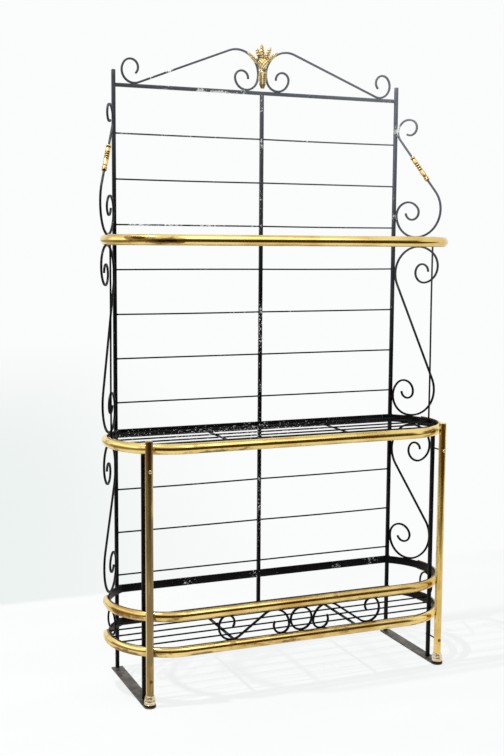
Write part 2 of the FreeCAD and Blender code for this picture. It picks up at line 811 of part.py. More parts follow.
def side_scroll(name, first, second):
    """The pair of one side scroll; returns each straight's ends in space."""
    pair = []
    straights = {}
    for side, sign in SIDES:
        along = vec(sign * math.sin(side_angle), -math.cos(side_angle), 0)
        placement = upright_plane(vec(sign * post_x, shift, 0), along)
        body, ends = scroll("%s_scroll_%s" % (name, side), first, second, placement)
        pair.append(body)
        straights[side] = [placement.multVec(vec(*end)) for end in ends]
    group(name + "_side_scrolls", pair)
    return straights


upper_straights = side_scroll(
    "upper",
    Curl.listed(
        "upper_high", (0, -1, post_seat), (0, 1, band_top("top") + size("upper_scroll_rise"))
    ),
    Curl.listed("upper_low", (2, -1, post_seat), (0, -1, band_top("top") + seat)),
)
side_scroll(
    "middle",
    Curl.listed("middle_high", (0, -1, post_seat), (1, 1, band_bottom("top") - seat)),
    Curl.listed("middle_low", (1, -1, post_seat), (0, -1, band_top("middle") + seat)),
)
side_scroll(
    "lower",
    Curl.listed("lower_high", (0, -1, post_seat), (1, 1, band_bottom("middle") - seat)),
    Curl.listed("lower_low", (1, -1, post_seat), (1, -1, band_top("gallery") + seat)),
)

# Gallery: two scrolls and a ring between the bottom and the gallery bands.
# Each curl touches both bands, so its largest radius follows from their gap.
floor_seat = band_top("bottom") + seat
roof_seat = band_bottom("gallery") - seat
clear = roof_seat - floor_seat
# The bars stand flush with the band's front face, just clear of the brass.
gallery_y = -size("ring_reach") + gap + bar / 2
outer_turn = 52.0
small_outer = 25.5
cos_turn = math.cos(math.radians(outer_turn))
large_outer = (clear - small_outer * (1 - cos_turn)) / (1 + cos_turn)
inner_turn = -91.0
small_inner = 28.0
cos_turn = math.cos(math.radians(inner_turn))
large_inner = (clear - small_inner * (1 + cos_turn)) / (1 - cos_turn)
beside_ring = size("gallery_ring_size") / 2 + gap + bar / 2
pair = []
for side, sign in SIDES:
    body, _ = scroll(
        "gallery_scroll_" + side,
        Curl(
            [(large_outer, outer_turn), (small_outer, -131)],
            (0, -1, -size("gallery_scroll_reach")),
            (0, -1, floor_seat),
        ),
        Curl(
            [(large_inner, inner_turn), (small_inner, -303)],
            (0, 1, -beside_ring),
            (0, 1, roof_seat),
        ),
        upright_plane(vec(0, shift + gallery_y, 0), vec(-sign, 0, 0)),
    )
    pair.append(body)
group("gallery_scrolls", pair)

ring = new_body("gallery_ring")
ring_plan = new_sketch(ring, "GalleryRingPlan")
circle_section(ring_plan, "Sizes.gallery_ring_size", 80.0, "outside")
circle_section(ring_plan, "Sizes.gallery_ring_size - 2 * Sizes.scroll_bar", 60.0, "inside")
pad(ring, ring_plan, "GalleryRingBar", "Sizes.scroll_bar", midplane=True)
ring.Placement = upright_plane(
    vec(0, shift + gallery_y, (band_top("bottom") + band_bottom("gallery")) / 2), vec(1, 0, 0)
)

# A small curl stands between the same two bands at each end of the rings.
curl_bar = size("end_curl_bar")
curl_r = (band_bottom("gallery") - band_top("bottom") - curl_bar) / 2 - gap
curl_level = (band_top("bottom") + band_bottom("gallery")) / 2
# The brass stands above the band's edge, so the curl's plane stays inside the
# band's outer face for as long as the curl is lower than the brass.
overhang = max(0.0, (size("rail_height") - size("band_height")) / 2)
curl_out = curl_r + curl_bar / 2
beside = math.sqrt(curl_out**2 - (curl_out - overhang) ** 2)
pair = []
curl_x = arc_x + math.sqrt(outer_r**2 - beside**2) - gap - curl_bar / 2
for side, sign in SIDES:
    body = new_body("gallery_end_curl_" + side)
    path = new_sketch(body, "Path_end_curl_" + side)
    inner_curl = curl_r * 0.55
    arc(path, (0, 0), curl_r, -100, 90)
    arc(path, (0, curl_r - curl_r * 0.95), curl_r * 0.95, 90, 180)
    arc(path, (inner_curl - curl_r * 0.95, curl_r * 0.05), inner_curl, 180, 340)
    turn = math.radians(-100)
    section = new_sketch(
        body,
        "Section_end_curl_" + side,
        offset=across(
            vec(curl_r * math.cos(turn), curl_r * math.sin(turn)),
            vec(-math.sin(turn), math.cos(turn)),
        ),
    )
    square_section(section, "Sizes.end_curl_bar")
    sweep(body, section, path, "Bent_end_curl_" + side)
    body.Placement = upright_plane(
        vec(sign * curl_x, shift + arc_y, curl_level),
        vec(0, -1, 0),
    )
    pair.append(body)
group("gallery_end_curls", pair)

# Crest: two scrolls stand on the top bar, their inner turns facing each other.
crest_seat = top_bar_level + half_post + seat
crest_reach = post_x - size("crest_inset")
pair = []
for side, sign in SIDES:
    body, _ = scroll(
        "crest_scroll_" + side,
        Curl.listed("crest_outer", (0, -1, -crest_reach), (0, -1, crest_seat)),
        Curl.listed("crest_inner", (0, 1, -size("crest_gap") / 2), (1, -1, crest_seat)),
        upright_plane(vec(0, shift, 0), vec(-sign, 0, 0)),
    )
    pair.append(body)
group("crest_scrolls", pair)

# Brass spindles threaded on the straights of the upper side scrolls.
long = size("spindle_length")
big = size("spindle_size") / 2
bore = bar + 2 * size("spindle_fit")
slim = bore / math.sqrt(2) + size("spindle_wall")
full = big * 0.91
bead = big * 0.81
for side, sign in SIDES:
    high, low = upper_straights[side]
    casting = many_sided(
        (
            (0.0, big, 0.0),
            (long * 0.035, big, 0.0),
            (long * 0.06, slim, 0.0),
            (long * 0.25, full, 0.0),
            (long * 0.40, slim, 0.0),
            (long * 0.45, bead, 0.0),
            (long * 0.50, slim, 0.0),
            (long * 0.55, bead, 0.0),
            (long * 0.60, slim, 0.0),
            (long * 0.78, bead, 0.0),
            (long * 0.94, slim, 0.0),
            (long * 0.965, big, 0.0),
            (long, big, 0.0),
        ),
        int(size("shoe_sides")),
    )
    casting = casting.cut(Part.makeBox(bore, bore, long * 2, vec(-bore / 2, -bore / 2, -long / 2)))
    along = (high - low).normalize()
    facing = vec(math.cos(side_angle), sign * math.sin(side_angle), 0)
    middle = (high + low) * 0.5 - along * size("spindle_drop")
    feature(
        "spindle_" + side,
        casting,
        FreeCAD.Placement(
            middle - along * (long / 2),
            FreeCAD.Rotation(facing.cross(along), facing, along, "ZYX"),
        ),
    )

# ---------------------------------------------------------------------------
# Wheat sheaf, cast in one piece with a flat back, in front of the crest.

tall = size("sheaf_height")
thick = size("sheaf_depth")
spread = size("sheaf_spread")


def half_round(centre, along, width, depth):
    """A bulging section with a flat back, across the given direction."""
    side_way = vec(along.z, 0, -along.x)
    corners = ((-1.0, 0.0), (-0.8, 0.62), (-0.3, 1.0), (0.3, 1.0), (0.8, 0.62), (1.0, 0.0))
    return [centre + side_way * (width / 2 * a) + vec(0, -depth * b, 0) for a, b in corners]


def stem_bundle():
    """Bound straw: tail, waist and the spread up to the ears."""
    rows = ((0.0, 0.25, 0.45), (0.10, 0.40, 0.7), (0.23, 0.52, 0.85), (0.34, 0.65, 1.0),
            (0.42, 0.62, 0.95), (0.48, 0.69, 0.9), (0.58, 0.94, 0.85), (0.67, 1.0, 0.6))
    up = vec(0, 0, 1)
    return facetted([half_round(vec(0, 0, tall * h), up, spread * w, thick * d) for h, w, d in rows])


def ear(angle, root, length, width):
    """One pointed ear leaning by angle degrees from upright."""
    turn = math.radians(angle)
    along = vec(math.sin(turn), 0, math.cos(turn))
    start = vec(root[0], 0, root[1])
    rows = ((0.0, 0.5), (0.25, 0.9), (0.6, 1.0), (0.88, 0.7), (1.0, 0.2))
    return facetted(
        [half_round(start + along * (length * h), along, width * w, thick * 0.62 * w) for h, w in rows]
    )


sheaf_shape = stem_bundle()
for angle, root_x, root_z, length, width in (
    (-47, -0.10, 0.545, 0.36, 0.27),
    (-29, 0.02, 0.57, 0.37, 0.35),
    (-8, 0.02, 0.60, 0.404, 0.25),
    (23, 0.05, 0.60, 0.37, 0.27),
    (46, 0.10, 0.585, 0.37, 0.24),
):
    root = (tall * root_x, tall * root_z)
    sheaf_shape = sheaf_shape.fuse(ear(angle, root, tall * length, spread * width))
feature(
    "wheat_sheaf",
    sheaf_shape.removeSplitter(),
    FreeCAD.Placement(
        vec(0, shift - bar / 2 - gap, top_bar_level + half_post + size("sheaf_drop")),
        FreeCAD.Rotation(),
    ),
)

# ---------------------------------------------------------------------------
# Recompute, check and write each piece.

doc.recompute()
for item in doc.Objects:
    if "Invalid" in item.State or "Error" in item.State:
        raise RuntimeError("%s did not compute: %s" % (item.Label, item.State))

NODES = (
    ["rear_post_left", "rear_post_right", "top_bar", "centre_upright"]
    + ["back_rods_left", "back_rods_right"]
    + ["top_shelf_band", "middle_shelf_band", "gallery_band", "bottom_shelf_band"]
    + ["top_brass_rail", "middle_brass_rail", "gallery_brass_rail", "bottom_brass_rail"]
    + ["top_shelf_rods", "middle_shelf_rods", "bottom_shelf_rods"]
    + ["top_cross_bars", "middle_cross_bars", "bottom_cross_bars"]
    + ["%s_%s" % (piece, side)
       for piece in ("front_post", "brass_tube", "brass_foot", "foot_bar", "side_strut", "spindle")
       for side in ("left", "right")]
    + ["upper_side_scrolls", "middle_side_scrolls", "lower_side_scrolls"]
    + ["gallery_scrolls", "gallery_ring", "gallery_end_curls"]
    + ["crest_scrolls", "wheat_sheaf", "post_bolts", "post_nuts"]
)
by_label = {item.Label: item for item in doc.Objects}
for node in NODES:
    shape = by_label[node].Shape
    if shape.isNull() or not shape.isValid():
        raise RuntimeError(node + " has no valid shape")
    shape.exportStep("parts/%s.step" % node)
print("pieces:", len(NODES))
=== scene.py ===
"""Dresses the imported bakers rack: black wrought iron, polished brass and a pale studio.

Metres, Z up, -Y to the front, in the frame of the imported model.  Each
sub-assembly is a class that holds its sizes and builds its own meshes; each
finish is a frozen dataclass that builds one procedural material.
"""

from __future__ import annotations

import logging
import math
from dataclasses import dataclass, field
from enum import Enum
from typing import Callable, Iterable, Sequence

import bpy
import numpy as np
from mathutils import Matrix, Vector

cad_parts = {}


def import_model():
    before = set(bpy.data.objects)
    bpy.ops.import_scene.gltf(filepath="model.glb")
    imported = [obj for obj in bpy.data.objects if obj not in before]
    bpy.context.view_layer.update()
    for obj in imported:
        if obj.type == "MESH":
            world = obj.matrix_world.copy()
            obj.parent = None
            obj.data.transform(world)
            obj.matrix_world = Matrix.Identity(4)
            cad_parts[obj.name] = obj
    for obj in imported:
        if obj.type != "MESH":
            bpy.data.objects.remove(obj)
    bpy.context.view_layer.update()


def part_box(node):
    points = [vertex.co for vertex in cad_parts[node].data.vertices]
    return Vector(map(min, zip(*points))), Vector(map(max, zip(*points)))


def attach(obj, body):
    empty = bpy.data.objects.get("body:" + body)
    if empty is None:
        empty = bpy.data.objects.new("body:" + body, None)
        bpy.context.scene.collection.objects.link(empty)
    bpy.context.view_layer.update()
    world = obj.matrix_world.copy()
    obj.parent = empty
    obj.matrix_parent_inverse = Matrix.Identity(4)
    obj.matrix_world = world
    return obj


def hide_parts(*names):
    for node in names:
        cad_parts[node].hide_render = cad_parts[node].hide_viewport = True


log = logging.getLogger("bakers_rack")

BODY = "root"
RUN_MAP = "Run"
# weights on the meshes: wear on the bars' edges, painted shade in the hollows of cast and turned
# pieces
WEAR_AND_SHADE = "edge"
SCUFF = "scuff"
MM = 0.001
SHARP_EDGE = math.radians(50)
SAME_POINT = 1e-6
FLAT_WEAR = 0.3
ROD_WEAR = 0.25

Point = tuple[float, float, float]
Flat = tuple[float, float]
Colour = tuple[float, ...]

ACROSS: Point = (1.0, 0.0, 0.0)
BACKWARDS: Point = (0.0, 1.0, 0.0)
FORWARDS: Point = (0.0, -1.0, 0.0)
UP: Point = (0.0, 0.0, 1.0)


class Side(Enum):
    """The two ends of the rack, by the sign of X."""

    LEFT = -1
    RIGHT = 1

    @property
    def word(self) -> str:
        """The side's name in lower case, as the nodes use it."""
        return self.name.lower()


class Shelf(Enum):
    """The four rings, by their names in the nodes."""

    TOP = "top"
    MIDDLE = "middle"
    GALLERY = "gallery"
    BOTTOM = "bottom"

    @property
    def band(self) -> str:
        """Node of the ring's iron band."""
        return "gallery_band" if self is Shelf.GALLERY else self.value + "_shelf_band"

    @property
    def has_rods(self) -> bool:
        """Whether the ring carries shelf rods."""
        return self is not Shelf.GALLERY


class Slot(Enum):
    """The record's material slots."""

    BLACK_IRON = "black_iron"
    BRASS = "brass"
    CAST_BRASS = "cast_brass"
    BOLT_BRASS = "bolt_brass"
    FOOT_IRON = "foot_iron"


@dataclass(frozen=True)
class Scuff:
    """A worn place: chipped paint or dull brass, by its middle, reach and amount."""

    middle: Point
    reach: Point
    amount: float

    def weight(self, points: np.ndarray) -> np.ndarray:
        """amount * exp(-|offset / reach| squared) at each point."""
        offset = (points - np.array(self.middle)) / np.array(self.reach)
        return self.amount * np.exp(-np.sum(offset**2, axis=1))


REAR_Y = 0.192
BAND_Y = 0.18
FRONT_Y = -0.20
SPOT: Point = (0.02, 0.03, 0.02)
SHORT: Point = (0.035, 0.03, 0.02)
LONG: Point = (0.08, 0.03, 0.02)

# Marks that lie on one upright plane: x, z, reach and amount of each.
Marks = tuple[tuple[float, float, Point, float], ...]

# On the rear frame, its rods and the crest.
REAR_MARKS: Marks = (
    (-0.230, 2.017, (0.020, 0.03, 0.008), 2.3),
    (-0.155, 2.015, (0.055, 0.03, 0.007), 2.7),
    (-0.355, 2.018, (0.03, 0.03, 0.010), 1.4),
    (0.18, 2.018, SPOT, 0.9),
    (0.50, 2.018, SPOT, 1.0),
    (-0.50, 1.866, SHORT, 1.3),
    (-0.365, 1.864, SHORT, 1.2),
    (-0.275, 1.864, SHORT, 1.1),
    (-0.173, 1.863, SPOT, 1.0),
    (0.167, 1.864, SHORT, 1.1),
    (0.504, 1.867, SPOT, 0.9),
    (-0.178, 1.710, SPOT, 0.8),
    (0.315, 1.712, SHORT, 0.9),
    (-0.442, 1.557, LONG, 1.6),
    (-0.334, 1.557, SHORT, 1.4),
    (-0.200, 1.556, LONG, 1.7),
    (-0.03, 1.555, SHORT, 1.2),
    (0.272, 1.552, LONG, 1.0),
    (-0.20, 1.406, LONG, 0.8),
    (0.115, 1.253, SPOT, 1.3),
    (-0.10, 1.253, LONG, 0.9),
    (-0.15, 1.10, LONG, 0.9),
    (-0.25, 0.643, LONG, 0.9),
    (-0.30, 0.491, LONG, 0.8),
    (0.0, 1.972, (0.02, 0.03, 0.05), 1.1),
    (0.0, 1.844, SPOT, 1.4),
    (0.0, 1.66, (0.02, 0.03, 0.06), 0.9),
    (0.0, 1.20, (0.02, 0.03, 0.12), 1.1),
    (0.0, 0.98, (0.02, 0.03, 0.05), 0.9),
    (0.0, 0.55, (0.02, 0.03, 0.22), 1.0),
    (0.545, 1.913, (0.018, 0.03, 0.020), 1.9),
    (0.56, 1.93, (0.03, 0.05, 0.03), 0.9),
    (0.537, 1.675, (0.02, 0.03, 0.015), 0.9),
    (0.539, 1.601, (0.02, 0.03, 0.016), 1.6),
    (-0.345, 2.080, (0.020, 0.03, 0.014), 2.0),
    (-0.41, 2.054, SPOT, 1.0),
    (-0.076, 2.017, SPOT, 1.1),
)

# On the rings' rear bars and the wheat sheaf.
BAND_MARKS: Marks = (
    (-0.018, 2.137, (0.006, 0.03, 0.014), 1.8),
    (0.002, 2.098, (0.012, 0.03, 0.006), 1.4),
    (-0.277, 0.289, (0.04, 0.03, 0.02), 1.6),
    (-0.02, 0.288, SPOT, 1.7),
    (0.317, 0.283, SPOT, 1.9),
    (0.462, 0.292, SHORT, 1.8),
)

# On the rails' fronts.
FRONT_MARKS: Marks = (
    (-0.30, 0.829, (0.09, 0.03, 0.008), 1.2),
    (0.296, 0.845, (0.02, 0.03, 0.008), 0.9),
    (0.125, 0.300, (0.018, 0.03, 0.010), 1.3),
    (0.425, 0.293, (0.03, 0.03, 0.006), 0.9),
    (-0.457, 0.287, (0.05, 0.03, 0.008), 0.8),
    (-0.084, 0.165, (0.07, 0.03, 0.006), 0.9),
    (-0.36, 0.160, (0.07, 0.03, 0.006), 1.2),
)

SCUFFS: tuple[Scuff, ...] = (
    *(Scuff((x, REAR_Y, z), reach, amount) for x, z, reach, amount in REAR_MARKS),
    *(Scuff((x, BAND_Y, z), reach, amount) for x, z, reach, amount in BAND_MARKS),
    *(Scuff((x, FRONT_Y, z), reach, amount) for x, z, reach, amount in FRONT_MARKS),
    Scuff((0.62, 0.12, 1.62), (0.03, 0.05, 0.05), 0.9),
    Scuff((0.58, -0.02, 1.0), (0.03, 0.05, 0.06), 1.1),
    Scuff((-0.54, 0.0, 1.1), (0.05, 0.25, 0.25), 0.5),
    Scuff((-0.2, 0.05, 0.832), (0.45, 0.2, 0.03), 1.3),
    Scuff((0.22, 0.10, 0.832), (0.26, 0.12, 0.03), 0.5),
    Scuff((-0.560, -0.14, 1.513), (0.034, 0.07, 0.007), 3.4),
    Scuff((-0.485, -0.195, 1.5015), (0.062, 0.05, 0.0065), 3.9),
    Scuff((0.49, -0.19, 0.848), (0.05, 0.04, 0.005), 1.8),
    Scuff((-0.60, -0.10, 0.162), (0.09, 0.12, 0.010), 1.7),
    Scuff((-0.60, -0.10, 0.287), (0.09, 0.12, 0.008), 1.2),
    Scuff((-0.05, -0.19, 0.172), (0.40, 0.05, 0.02), 0.35),
)


# ---------------------------------------------------------------------------
# Meshes


@dataclass
class Patch:
    """A grid of points with its faces, run map, edge weights and end faces."""

    points: np.ndarray
    quads: np.ndarray
    run: np.ndarray
    edge: np.ndarray
    caps: list[list[int]] = field(default_factory=list)


@dataclass
class Form:
    """Patches that together become one piece."""

    name: str
    patches: Sequence[Patch]

    def piece(self, material: bpy.types.Material, slot: Slot, *nodes: str) -> None:
        """Make the mesh at the origin, dress it and tie it to the rack.

        Args:
            material: the finish.
            slot: the record's material slot; not used.
            nodes: CAD nodes that the piece stands for.
        """
        faces, run, start = [], [], 0
        for patch in self.patches:
            faces.extend((patch.quads + start).tolist())
            run.append(patch.run.reshape(-1, 2))
            for cap in patch.caps:
                faces.append([corner + start for corner in cap])
                run.append(np.zeros((len(cap), 2)))
            start += len(patch.points)
        places = np.concatenate([patch.points for patch in self.patches])
        edge = np.concatenate([patch.edge for patch in self.patches])
        mesh = bpy.data.meshes.new(self.name)
        mesh.from_pydata(places.tolist(), [], faces)
        layer = mesh.uv_layers.new(name=RUN_MAP)
        layer.data.foreach_set("uv", np.concatenate(run).astype(np.float32).ravel())
        scuffed = sum(scuff.weight(places) for scuff in SCUFFS)
        for label, values in ((WEAR_AND_SHADE, edge), (SCUFF, scuffed)):
            layer = mesh.attributes.new(label, "FLOAT", "POINT")
            layer.data.foreach_set("value", values.astype(np.float32))
        mesh.polygons.foreach_set("use_smooth", np.ones(len(mesh.polygons), bool))
        mesh.set_sharp_from_angle(angle=SHARP_EDGE)
        mesh.materials.append(material)
        thing = linked(self.name, mesh)
        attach(thing, BODY)
        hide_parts(*nodes)
        log.info("%s: %d faces", self.name, len(mesh.polygons))


def linked(name: str, data: bpy.types.ID) -> bpy.types.Object:
    """Put a mesh, a lamp or a camera into the scene.

    Args:
        name: the object's name.
        data: what the object holds.

    Returns:
        The new object, at the origin.
    """
    thing = bpy.data.objects.new(name, data)
    bpy.context.scene.collection.objects.link(thing)
    return thing


def middle(node: str) -> Point:
    """Centre of a node's box."""
    low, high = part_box(node)
    return ((low.x + high.x) / 2, (low.y + high.y) / 2, (low.z + high.z) / 2)


def grid(
    points: np.ndarray,
    along: np.ndarray,
    around: np.ndarray,
    edge: np.ndarray | None = None,
    closed: bool = True,
) -> Patch:
    """Turn rows of points into quads that face away from the rows' left side.

    Args:
        points: (rows, columns, 3), each row one section, anticlockwise when
            seen against the direction of travel.
        along: metres along the piece at each row.
        around: metres around the section at each column, and once more at the
            end if closed.
        edge: weight of each point: wear on a bar's edge, painted shade in the hollows of cast and
            turned pieces.
        closed: join the last column to the first, and close the first and the
            last row with one face each.

    Returns:
        The patch.
    """
    rows, columns = points.shape[:2]
    count = columns if closed else columns - 1
    i, j = np.meshgrid(np.arange(rows - 1), np.arange(count), indexing="ij")
    following = (j + 1) % columns
    here, above = i * columns, (i + 1) * columns
    quads = np.stack([here + j, here + following, above + following, above + j], axis=-1)
    low, high = along[i], along[i + 1]
    left, right = around[j], around[j + 1]
    corners = ((low, left), (low, right), (high, right), (high, left))
    run = np.stack([np.stack(pair, axis=-1) for pair in corners], axis=-2)
    weights = np.broadcast_to(0.0 if edge is None else edge, (rows, columns))
    ends: list[list[int]] = []
    if closed:
        ends.append(list(range(columns))[::-1])
        ends.append(list(range((rows - 1) * columns, rows * columns)))
    flat = points.reshape(-1, 3), quads.reshape(-1, 4), run.reshape(-1, 4, 2)
    return Patch(*flat, weights.reshape(-1).copy(), ends)


@dataclass(frozen=True)
class Section:
    """A closed outline across a bar: points, metres around and edge weights."""

    outline: np.ndarray
    edge: np.ndarray

    @property
    def around(self) -> np.ndarray:
        """Metres round the outline at each point, and back at the first."""
        steps = np.linalg.norm(np.roll(self.outline, -1, axis=0) - self.outline, axis=1)
        return np.concatenate([[0.0], np.cumsum(steps)])


def rounded_bar(width: float, height: float, corner: float, steps: int = 3) -> Section:
    """A rectangle with quarter circles at its corners.

    Args:
        width: full size along the first direction.
        height: full size along the second direction.
        corner: radius of the corners.
        steps: faces in each corner.

    Returns:
        The section, anticlockwise from the first direction.
    """
    turn = np.linspace(0, math.pi / 2, steps + 1)
    outline, edge = [], []
    for number, (sx, sy) in enumerate(((1, 1), (-1, 1), (-1, -1), (1, -1))):
        centre = np.array([sx * (width / 2 - corner), sy * (height / 2 - corner)])
        angle = turn + number * math.pi / 2
        outline.append(centre + corner * np.stack([np.cos(angle), np.sin(angle)], axis=1))
        edge.append(np.sin(2 * turn) * (1 - FLAT_WEAR) + FLAT_WEAR)
    return Section(np.concatenate(outline), np.concatenate(edge))


def round_rod(diameter: float, sides: int = 14) -> Section:
    """A circle.

    Args:
        diameter: across the rod.
        sides: faces round it.

    Returns:
        The section.
    """
    angle = np.arange(sides) * 2 * math.pi / sides
    outline = diameter / 2 * np.stack([np.cos(angle), np.sin(angle)], axis=1)
    return Section(outline, np.full(sides, ROD_WEAR))


def sweep(
    line: np.ndarray,
    side: Sequence[float],
    section: Section,
    scale: np.ndarray | None = None,
) -> Patch:
    """Carry a section along a line that lies in one plane.

    A point is line + u * side + v * (direction x side), with (u, v) the
    section's point times the scale at that place.

    Args:
        line: (n, 3) points.
        side: the plane's normal, the section's first direction.
        section: the outline to carry.
        scale: factor on the section at each point.

    Returns:
        The swept patch, closed at both ends.
    """
    steps = np.diff(line, axis=0)
    lengths = np.linalg.norm(steps, axis=1)
    unit = steps / lengths[:, None]
    direction = np.concatenate([unit[:1], unit[:-1] + unit[1:], unit[-1:]])
    direction /= np.linalg.norm(direction, axis=1)[:, None]
    normal = np.broadcast_to(np.asarray(side, float), line.shape)
    second = np.cross(direction, normal)
    second /= np.linalg.norm(second, axis=1)[:, None]
    factor = np.ones((len(line), 1, 1)) if scale is None else scale[:, None, None]
    u = section.outline[None, :, 0, None] * factor
    v = section.outline[None, :, 1, None] * factor
    points = line[:, None, :] + u * normal[:, None, :] + v * second[:, None, :]
    along = np.concatenate([[0.0], np.cumsum(lengths)])
    return grid(points, along, section.around, section.edge[None, :])


def even(count: int, margin: float) -> np.ndarray:
    """Shares of a length at even steps, with the same margin left at both ends."""
    return np.linspace(margin, 1 - margin, count)


def weld_swelling(share: np.ndarray, size: float, rate: float) -> np.ndarray:
    """Factor on a rod's thickness, which grows where its ends are welded.

    factor = 1 + size * (exp(-rate * share) + exp(rate * (share - 1))).

    Args:
        share: places along the rod, 0 to 1.
        size: the swelling at the very end.
        rate: how fast it dies away.

    Returns:
        The factor at each place.
    """
    return 1 + size * (np.exp(-share * rate) + np.exp((share - 1) * rate))


def straight(
    start: Sequence[float], end: Sequence[float], stations: Sequence[float] = ()
) -> np.ndarray:
    """Points of a straight line, at its ends and at shares of its length between.

    Args:
        start: first point.
        end: last point.
        stations: shares of the length, in order, that get a point too.

    Returns:
        (n, 3) points.
    """
    first, last = np.asarray(start, float), np.asarray(end, float)
    shares = np.array([0.0, *stations, 1.0])
    return first + (last - first) * shares[:, None]


def arc_points(
    centre: Flat, radius: float, start: float, end: float, step: float = 5.0
) -> np.ndarray:
    """Points of a plane arc.

    Args:
        centre: centre of the arc.
        radius: its radius.
        start: angle of the first point, in degrees.
        end: angle of the last point.
        step: degrees from point to point, at most.

    Returns:
        (n, 2) points.
    """
    count = max(2, int(math.ceil(abs(end - start) / step)) + 1)
    angle = np.radians(np.linspace(start, end, count))
    x, y = centre[0] + radius * np.cos(angle), centre[1] + radius * np.sin(angle)
    return np.stack([x, y], axis=1)


def chain(*runs: np.ndarray) -> np.ndarray:
    """Join runs of points end to end, leaving out the points that coincide.

    Args:
        runs: the runs, each (n, 2) or (n, 3).

    Returns:
        One run.
    """
    points = np.concatenate(runs)
    steps = np.linalg.norm(np.diff(points, axis=0), axis=1)
    keep = np.concatenate([[True], steps > SAME_POINT])
    return points[keep]


def turned(
    foot: Sequence[float],
    axis: Sequence[float],
    heights: np.ndarray,
    radii: np.ndarray,
    sides: int = 32,
    lobes: int = 0,
    depth: np.ndarray | None = None,
    hollow_shade: np.ndarray | None = None,
) -> Patch:
    """A turned form: radius as a function of height, with optional lobes.

    radius(h, a) = radii(h) * (1 - depth(h) * (1 - |cos(lobes * a / 2)|)).

    Args:
        foot: point at height zero.
        axis: direction of the axis.
        heights: heights of the rows.
        radii: radius at each row.
        sides: columns.
        lobes: how many lobes round the axis.
        depth: share by which the valleys are drawn in at each row.
        hollow_shade: weight of each row as a hollow that gets painted shade.

    Returns:
        The patch, closed at both ends.
    """
    up = np.asarray(axis, float) / np.linalg.norm(axis)
    first = np.cross(BACKWARDS if abs(up[1]) < 0.9 else ACROSS, up)
    first /= np.linalg.norm(first)
    second = np.cross(up, first)
    angle = np.arange(sides) * 2 * math.pi / sides
    radius = radii[:, None] * np.ones(sides)
    if lobes and depth is not None:
        radius = radius * (1 - depth[:, None] * (1 - np.abs(np.cos(lobes * angle / 2))))
    ring = np.cos(angle)[:, None] * first + np.sin(angle)[:, None] * second
    points = np.asarray(foot, float) + heights[:, None, None] * up + radius[:, :, None] * ring
    around = np.arange(sides + 1) * 2 * math.pi / sides * float(radii.max())
    along = np.concatenate([[0.0], np.cumsum(np.hypot(np.diff(heights), np.diff(radii)))])
    return grid(points, along, around, None if hollow_shade is None else hollow_shade[:, None])


@dataclass(frozen=True)
class Bead:
    """A stretch of a turned outline: its length, end radii and swelling."""

    length: float
    start: float
    end: float
    swell: float = 0.0
    rows: int = 6


def bead_outline(beads: Iterable[Bead]) -> tuple[np.ndarray, np.ndarray]:
    """Heights and radii of a string of beads.

    In each bead radius(t) = start + (end - start) * t + swell * sin(pi * t).

    Args:
        beads: the beads from the foot to the top.

    Returns:
        The rows' heights and radii.
    """
    heights, radii, at = [], [], 0.0
    for bead in beads:
        t = np.linspace(0, 1, bead.rows)
        heights.append(at + bead.length * t)
        radii.append(bead.start + (bead.end - bead.start) * t + bead.swell * np.sin(math.pi * t))
        at += bead.length
    return np.concatenate(heights), np.concatenate(radii)


def plane_to_space(
    points: np.ndarray, origin: Sequence[float], along: Sequence[float]
) -> np.ndarray:
    """Points of an upright plane, (distance along, height), as points in space."""
    level = points[:, :1] * np.asarray(along, float)
    return np.asarray(origin, float) + level + points[:, 1:] * np.array(UP)


# ---------------------------------------------------------------------------
# Finishes


@dataclass(frozen=True)
class Noise:
    """Fractal noise, about 0 to 1: features a metre, octaves and roughness."""

    scale: float
    detail: float = 3.0
    rough: float = 0.55


